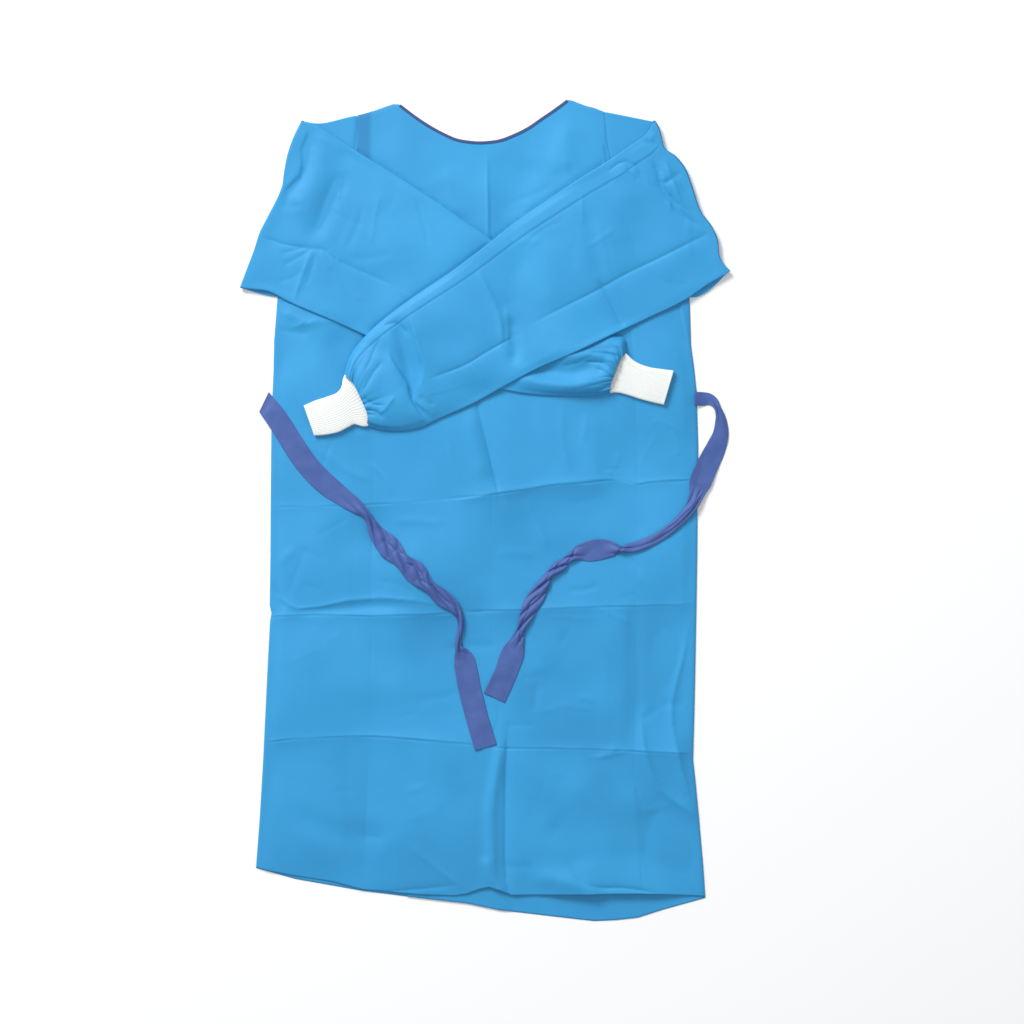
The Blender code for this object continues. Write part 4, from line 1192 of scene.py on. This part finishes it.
def make_sleeve(
    name, node, side, sections, fold, creases, gather_seed, softness, bow, dip=0.0, sag=0.0, seam=None
):
    """A whole sleeve on what is already laid."""
    edge_room = FLAT_SLEEVE / 2
    arm, outward = arm_places(side, fold, ARM_ROWS, dip, sag)
    places, heights, walked = chest_places(sections, fold, CHEST_ROWS, edge_room, bow)
    from_seam = np.linalg.norm(arm - arm[:1], axis=2)
    into_seam = seam_fold(from_seam, 1.0)
    under = [np.dstack([arm, 0.45 * into_seam])]
    over = [np.dstack([arm, FLAT_SLEEVE - 0.7 * into_seam])]

    centre_z = (FLAT_SLEEVE + SLEEVE_LEVEL) / 2
    angles = np.linspace(0, np.pi, TURN_ROWS)[1:-1]
    end_height = SLEEVE_LEVEL + TURN_RISE
    outer_radius = centre_z + (end_height - 2 * centre_z) * angles / np.pi
    inner_radius = np.full_like(angles, (SLEEVE_LEVEL - FLAT_SLEEVE) / 2)
    for walls, radius in ((under, outer_radius), (over, inner_radius)):
        moved = arm[-1][None] + outward * (radius * np.sin(angles))[:, None, None]
        level = np.broadcast_to((centre_z - radius * np.cos(angles))[:, None, None], (*moved.shape[:2], 1))
        walls.append(np.concatenate([moved, level], axis=2))

    x, y = places[..., 0], places[..., 1]
    rest = height_below(x, y, MAP_SPREAD, softness) + RESTING_GAP
    level = np.maximum(rest, SLEEVE_LEVEL)
    level += (SLEEVE_LEVEL - level) * np.exp(-walked / 14)[:, None]
    relief = crease_relief(x, y, creases) + swell(x, y, gather_seed + 1, 0.6, 220, 90)
    relief += gathers(walked, ACROSS, gather_seed, 10, 46.0, 3.2)
    marks = np.zeros_like(x)
    if seam is not None:
        line = seam.start + (seam.end - seam.start) * walked / walked[-1]
        wide = np.linalg.norm(places[:, -1] - places[:, 0], axis=1)[:, None]
        off_line = (ACROSS[None] - line[:, None]) * wide
        relief += 0.7 * smooth_step(-1.5, 1.5, off_line) - 0.45 * np.exp(-((off_line / 2.0) ** 2))
        marks = 0.25 * np.exp(-((off_line / 2.5) ** 2))
    marks = np.maximum(marks, np.exp(-(walked[-1] - walked) / 3.0)[:, None])
    calm = smooth_step(0, 0.05, ACROSS) * smooth_step(0, 0.05, 1 - ACROSS)
    relief *= calm[None] * smooth_step(2, 22, walked)[:, None]
    top = level + np.maximum(crown(heights) + relief, 1.6)
    over.append(np.dstack([places, level]))
    under.append(np.dstack([places, top]))

    under, over = np.concatenate(under), np.concatenate(over)
    arm_marks = np.exp(-from_seam / 2.5)
    marks = np.concatenate([arm_marks, np.zeros((TURN_ROWS - 2, len(ACROSS))), marks])
    ring, ring_marks = rings_of(under, over, edge_room, marks)
    piece = cloth_piece(name, ring, 0, gown_cloth, wrap=True, flip=side < 0, seam=ring_marks)
    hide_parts(node)
    lay_down(under)
    return piece


LEFT_BOW, RIGHT_BOW = 5.0, 8.5
front_only = surface_map.copy()
sleeve_left = make_sleeve(
    "gown_sleeve_left", "sleeve_left", -1, LEFT_SLEEVE, LEFT_FOLD, LEFT_SLEEVE_CREASES,
    gather_seed=51, softness=10.0, bow=LEFT_BOW, dip=5.5, sag=1.5,
)

# %% [markdown]
# ## The cuffs
#
# A cuff is a short tube of rib knit. It is stretched where the full sleeve is sewn to it and springs back
# to its own width towards the wrist. The ribs run along it, and the knit's free end is a little rolled.

# %% Making a cuff
LEFT_CUFF = (
    Section(205, 228.5, 182.5, 172, 6.2),
    Section(208, 225.5, 187.5, 173, 5.8),
    Section(213, 220.5, 196, 172.4, 5.8),
    Section(222, 214.5, 206, 170, 5.8),
    Section(240, 208, 226, 163.5, 5.6),
    Section(259, 205, 245, 158.5, 5.3),
    Section(275, 203, 261, 155, 5.2),
)
RIGHT_CUFF = (
    Section(-204, 197.5, -170.5, 124, 5.6),
    Section(-206.5, 190, -178, 123.5, 6.0),
    Section(-208, 181, -189, 126.5, 6.0),
    Section(-214, 172, -199, 122.5, 6.0),
    Section(-230, 165, -213, 115.5, 5.8),
    Section(-247, 159.5, -231, 111.5, 5.5),
    Section(-264, 152, -249, 110, 5.3),
)
RIB_PITCH = 1.9
RIB_DEPTH = 0.16


def make_cuff(name, node, sections, bow, flip):
    """A ribbed, flattened tube. Its ring is cos(a) of the half width by sin(a)^0.55 of the half height."""
    table = np.array(sections, float)
    middle = (table[:, 0:2] + table[:, 2:4]) / 2
    rows = smooth_curve(np.column_stack([middle, table]), np.linspace(0, 1, 58))
    upper, lower, height = rows[:, 2:4], rows[:, 4:6], rows[:, 6]
    angles = np.linspace(0, 2 * np.pi, 330, endpoint=False)
    side = np.cos(angles)
    up = np.sign(np.sin(angles)) * np.abs(np.sin(angles)) ** 0.55
    half = (upper - lower) / 2
    place = (upper + lower)[:, None] / 2 + half[:, None] * side[None, :, None]
    walked = np.linspace(0, 1, len(rows))[:, None]
    bulge = end_bow((1 + side) / 2, bow - 0.6)[None] * np.exp(-walked * 5.0)
    place = place + bulge[..., None] * end_axis(sections[0])
    rest = height_below(place[..., 0], place[..., 1], MAP_SPREAD, 6.0, front_only) + RESTING_GAP
    level = np.maximum(rest, SLEEVE_LEVEL).mean(axis=1, keepdims=True)
    around = 2 * np.linalg.norm(half[-1]) * 2
    ribs = np.cos(np.arccos(np.clip(side, -1, 1)) / np.pi * around / 2 / RIB_PITCH * 2 * np.pi)
    roll = 0.35 * np.exp(-(((1 - walked) / 0.03) ** 2))
    bulge = 1 + 0.05 * np.sin(place[..., 0] / 17) * np.sin(place[..., 1] / 13)
    z = level + height[:, None] / 2 * (1 + up[None] * bulge)
    z = np.maximum(z + np.sign(up)[None] * (RIB_DEPTH * ribs[None] + roll), level - 0.2)
    grid = np.concatenate([place, z[..., None]], axis=2)
    piece = cloth_piece(name, grid, KNIT, rib_knit, wrap=True, flip=flip)
    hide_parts(node)
    lay_down(grid)
    return piece


cuff_left = make_cuff("gown_cuff_left", "cuff_left", LEFT_CUFF, LEFT_BOW, True)
sleeve_right = make_sleeve(
    "gown_sleeve_right", "sleeve_right", 1, RIGHT_SLEEVE, RIGHT_FOLD, RIGHT_SLEEVE_CREASES,
    gather_seed=61, softness=12.0, bow=RIGHT_BOW, sag=9.0, seam=RIGHT_SEAM_LINE,
)
cuff_right = make_cuff("gown_cuff_right", "cuff_right", RIGHT_CUFF, RIGHT_BOW, False)

# %% [markdown]
# ## The waist ties
#
# Each tie is a plain tape. Laid down by hand it twists and bunches, so it shows now at its full width and
# now as a narrow rope. Where it is narrow, its whole width is still there, in rolls that run along it:
# the narrower the stop, the deeper the rolls. The turns column says how far the rolls have gone round at
# each stop, and the skew column turns the tape's rows where it folds over at an angle.

# %% Stops along the ties
Stop = namedtuple("Stop", "x y width skew rolled turns")
LEFT_TIE = (
    Stop(-322.75, 158.5, 28.5, -27, 0, 0.0),
    Stop(-317, 151, 30, -16, 0, 0.0),
    Stop(-309, 141, 31, -6, 0, 0.0),
    Stop(-295, 120.6, 31.5, 0, 0, 0.0),
    Stop(-275, 88.4, 32, 0, 0, 0.0),
    Stop(-253, 59.2, 32, 0, 0, 0.0),
    Stop(-226.5, 34.3, 30.5, 0, 0, 0.1),
    Stop(-205, 18, 26, 0, 0.2, 0.2),
    Stop(-188, 6, 21, 0, 0.5, 0.35),
    Stop(-172, -8, 12.5, 0, 1, 0.7),
    Stop(-158, -33, 23, 0, 1, 1.3),
    Stop(-140, -53, 33, 0, 2.2, 2.1),
    Stop(-121, -73, 23, 0, 1.2, 3.0),
    Stop(-102, -90, 33, 0, 2.0, 3.7),
    Stop(-81, -111, 19, 0, 1, 4.6),
    Stop(-62, -127, 24, 0, 1, 5.2),
    Stop(-44, -142, 17, 0, 1, 5.8),
    Stop(-36.5, -155, 10, 0, 1, 6.2),
    Stop(-35.5, -171.7, 8.8, 0, 0.8, 6.4),
    Stop(-38.5, -188, 8.6, 0, 0.8, 6.6),
    Stop(-38.5, -199, 10, 0, 1, 6.9),
    Stop(-34.5, -208, 22, 0, 0.5, 7.1),
    Stop(-31.0, -216, 29, 0, 0.1, 7.2),
    Stop(-27.5, -232, 32, 0, 0, 7.2),
    Stop(-22, -262, 32.5, 0, 0, 7.2),
    Stop(-15, -290, 32.5, 0, 0, 7.2),
    Stop(1.5, -345.7, 33, 0, 0, 7.2),
)
RIGHT_TIE = (
    Stop(306, 163, 20, 0, 0, 0.0),
    Stop(317, 163, 20, 0, 0, 0.0),
    Stop(327, 161.8, 18.5, 10, 0, 0.0),
    Stop(334, 158, 14, 18, 0.2, 0.05),
    Stop(339, 151, 10, 12, 0.6, 0.1),
    Stop(343, 141, 12.5, 0, 0.5, 0.15),
    Stop(345, 128, 18, 0, 0.2, 0.2),
    Stop(344.5, 112, 23, 0, 0, 0.2),
    Stop(338, 92.8, 29, 0, 0, 0.2),
    Stop(324, 63.6, 32, 0, 0, 0.2),
    Stop(313.5, 38, 31, 0, 0.1, 0.25),
    Stop(309, 23, 22, 0, 0.6, 0.4),
    Stop(301, 5, 17, 0, 0.8, 0.6),
    Stop(288, -11, 15.5, 0, 0.5, 0.7),
    Stop(265, -31, 15, 0, 0.4, 0.8),
    Stop(238, -46.5, 15.5, 0, 0.35, 0.85),
    Stop(212, -54.8, 14, 0, 0.5, 1.0),
    Stop(198, -57, 10.5, 0, 1, 1.3),
    Stop(187, -56.5, 21, 0, 0.4, 1.5),
    Stop(172, -56.5, 29, 0, 0.08, 1.5),
    Stop(152, -59.5, 29.5, 0, 0.08, 1.5),
    Stop(136, -62.5, 21, 0, 0.6, 1.7),
    Stop(124, -69.4, 12, 0, 1, 2.2),
    Stop(109.6, -81, 17, 0, 1, 2.9),
    Stop(93, -95.7, 13, 0, 1, 3.5),
    Stop(82, -113.3, 20, 0, 1, 4.2),
    Stop(70, -133.7, 24.5, 0, 0.9, 4.8),
    Stop(60, -154.2, 19.5, 0, 1, 5.6),
    Stop(52.2, -174.7, 13, 0, 1, 6.3),
    Stop(47.5, -189, 20, 0, 0.6, 6.7),
    Stop(42, -204, 31, 0, 0.1, 6.9),
    Stop(30, -238, 33, 0, 0, 6.9),
    Stop(13.6, -273.3, 34, 0, 0, 6.9),
)
TIE_CREASES = (
    Crease("tent", -3.6, 2.0, ((-172, 0), (-160, -14), (-143.2, -30), (-138.9, -44.6), (-141, -56))),
    Crease("tent", -3.9, 2.0, ((-152, -40), (-143.2, -47.5), (-128, -58), (-112, -68))),
    Crease("tent", -3.9, 2.0, ((-118, -76), (-104, -80), (-92, -92), (-84, -112))),
    Crease("tent", -3.3, 2.0, ((-98, -100), (-88, -104), (-74, -112))),
    Crease("tent", -3.6, 2.0, ((-78, -104), (-70, -118), (-58, -130), (-40, -142))),
    Crease("tent", -2.2, 1.4, ((-42, -150), (-36, -170), (-38, -198))),
    Crease("tent", -1.4, 2.0, ((-44, -206), (-34, -206), (-22, -212))),
    Crease("tent", -0.9, 1.8, ((-36, -262), (-24, -252), (-8, -244))),
    Crease("tent", -0.8, 1.8, ((-34, -248), (-22, -246), (-8, -256))),
    Crease("tent", -3.0, 2.0, ((325, 66), (316, 30), (306, 14))),
    Crease("tent", -2.4, 2.0, ((304, 8), (280, -16), (256, -34))),
    Crease("tent", -3.6, 2.0, ((202, -50), (197, -58), (190, -68))),
    Crease("tent", -3.6, 2.0, ((132, -52), (128, -66), (118, -78))),
    Crease("tent", -3.0, 2.0, ((122, -66), (108, -76), (100, -92))),
    Crease("tent", -3.0, 2.0, ((98, -84), (88, -104), (72, -118))),
    Crease("tent", -3.3, 2.0, ((82, -120), (66, -134), (58, -160))),
    Crease("tent", -3.6, 2.0, ((60, -150), (50, -172), (52, -196))),
)


# %% Making a tie
def tie_rows(stops):
    """Smooth rows of a tie: its places, how far the tape is walked, and the line across at each row.

    The line across is at a right angle to the tie, turned by the skew.
    """
    table = np.array(stops, float)
    length = np.linalg.norm(np.diff(table[:, :2], axis=0), axis=1).sum()
    rows = smooth_curve(table, np.linspace(0, 1, int(length / 1.35)))
    along = np.gradient(rows[:, :2], axis=0)
    along /= np.linalg.norm(along, axis=1, keepdims=True)
    skew = np.radians(rows[:, 3:4])
    across = np.cos(skew) * np.stack([-along[:, 1], along[:, 0]], axis=1) + np.sin(skew) * along
    return rows, np.linspace(0, length, len(rows))[:, None], across / np.cos(skew), length


def rolls(q, width, rolled, turns):
    """Height of the rolls across a tape that shows this width.

    The tape's spare width goes up and down in the rolls: depth = w/(2k) sqrt((W/w)^2 - 1) for k rolls.
    Their profile |sin(pi (k q + turns))|^0.65 has round tops and sharp grooves between them.
    """
    share = np.clip(width / TAPE_WIDTH, 0.2, 0.93)
    count = 1.0 + 0.7 * smooth_step(10, 22, width)
    depth = rolled * np.clip(width / (2 * count) * np.sqrt(1 / share**2 - 1) * 0.65, 0, 5.4)
    lobes = np.abs(np.sin(np.pi * (count * q + turns))) ** 0.65
    body = 3.6 * (0.93 - share) * np.sqrt(np.clip(1 - (2 * q) ** 2, 0, 1))
    return depth * lobes * (1 - 0.5 * (2 * q) ** 2) + body


def make_tie(name, node, stops, seed, wrapped):
    """A tape along its stops, resting on what is laid below it."""
    rows, walked, across, length = tie_rows(stops)
    q = np.linspace(-0.5, 0.5, 33)[None]
    rng = np.random.default_rng(seed)
    width = np.clip(rows[:, 2:3], 8.5, TAPE_WIDTH + 2)
    ripple = 0.6 * np.sin(walked / 19 + 3 * q + rng.uniform(0, 6)) + 0.35 * np.sin(walked / 8.3 - 5 * q)
    x = rows[:, :1] + across[:, :1] * width * q
    y = rows[:, 1:2] + across[:, 1:] * width * q
    below = height_below(x, y, MAP_SPREAD, 5.0)
    level = np.maximum(below, below.max(axis=1, keepdims=True) - 1.2) + 0.4
    lift = rolls(q, width, np.clip(rows[:, 4:5], 0, 2), rows[:, 5:6]) + ripple * smooth_step(0, 20, walked)
    z = level + np.maximum(lift + crease_relief(x, y, TIE_CREASES), 0)
    grid = np.stack([x, y, z + TAPE * 0.5], axis=-1)
    if wrapped:
        angles = np.linspace(0, np.pi, 9)[:-1, None]
        high = grid[0, :, 2].mean()
        rise = smooth_step(0, 14, walked)
        grid[..., 2] = grid[..., 2] * rise + high * (1 - rise)
        outward = -np.array([across[0, 1], -across[0, 0]]) / np.linalg.norm(across[0])
        turn = np.repeat(grid[:1], 8, axis=0)
        radius = (high - TAPE) / 2
        turn[..., :2] += (outward * radius) * np.sin(angles)[..., None]
        turn[..., 2] = TAPE + radius * (1 - np.cos(angles))
        grid = np.concatenate([turn, grid])
    piece = cloth_piece(name, grid, TAPE, tie_tape, flip=True)
    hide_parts(node)
    lay_down(grid)
    return piece, length


tie_left, left_length = make_tie("waist_tie_left", "tie_left", LEFT_TIE, 71, True)
tie_right, right_length = make_tie("waist_tie_right", "tie_right", RIGHT_TIE, 73, False)
print(f"ties: {left_length:.0f} and {right_length:.0f} mm long")

# %% Lengths of the ties, in metres
left_length * MM
right_length * MM

# %% [markdown]
# ## Camera, light and floor
#
# The gown is seen from straight above, from far enough away that it hardly narrows. The light is that of a
# pale room: even light from all round, and one large soft lamp towards the neck that gives the folds their
# lit and shaded sides.

# %% Camera
VIEW_CENTRE = (0.0395, -0.0022)
VIEW_WIDTH = 1.4966
CAMERA_HEIGHT = 3.6

camera_data = bpy.data.cameras.new("camera")
camera_data.sensor_width = 36.0
camera_data.lens = 36.0 * CAMERA_HEIGHT / VIEW_WIDTH
camera_data.clip_end = 50.0
camera = bpy.data.objects.new("camera", camera_data)
camera.location = (*VIEW_CENTRE, CAMERA_HEIGHT)
bpy.context.scene.collection.objects.link(camera)
bpy.context.scene.camera = camera


# %% Light
def soft_lamp(name, place, aim, size, power):
    """A large square white lamp that faces a point."""
    data = bpy.data.lights.new(name, "AREA")
    data.shape = "SQUARE"
    data.size = size
    data.energy = power
    lamp = bpy.data.objects.new(name, data)
    lamp.location = place
    direction = np.subtract(aim, place)
    flat = math.hypot(direction[0], direction[1])
    lamp.rotation_euler = (math.atan2(flat, -direction[2]), 0.0, math.atan2(-direction[0], direction[1]))
    bpy.context.scene.collection.objects.link(lamp)


soft_lamp("window", (-2.7, 4.0, 3.3), (0.05, 0.0, 0.0), 2.0, 345.0)
soft_lamp("ceiling", (0.3, 0.2, 4.2), (0.1, 0.0, 0.0), 2.0, 16.0)

world = bpy.data.worlds.new("pale room")
world.use_nodes = True
room = world.node_tree.nodes["Background"]
room.inputs["Color"].default_value = (0.96, 0.98, 1.0, 1.0)
room.inputs["Strength"].default_value = 0.56
bpy.context.scene.world = world
bpy.context.scene.view_settings.view_transform = "Standard"


# %% Floor
def make_floor():
    """A plain pale sheet, just under the gown."""
    half, level = 3.0, -0.0002
    mesh = bpy.data.meshes.new("floor")
    corners = [(-half, -half, level), (half, -half, level), (half, half, level), (-half, half, level)]
    mesh.from_pydata(corners, [], [(0, 1, 2, 3)])
    floor = bpy.data.objects.new("floor", mesh)
    finish = Finish("pale floor")
    finish.set(Base_Color=(0.92, 0.92, 0.92, 1.0), Roughness=0.9)
    mesh.materials.append(finish.material)
    bpy.context.scene.collection.objects.link(floor)


make_floor()
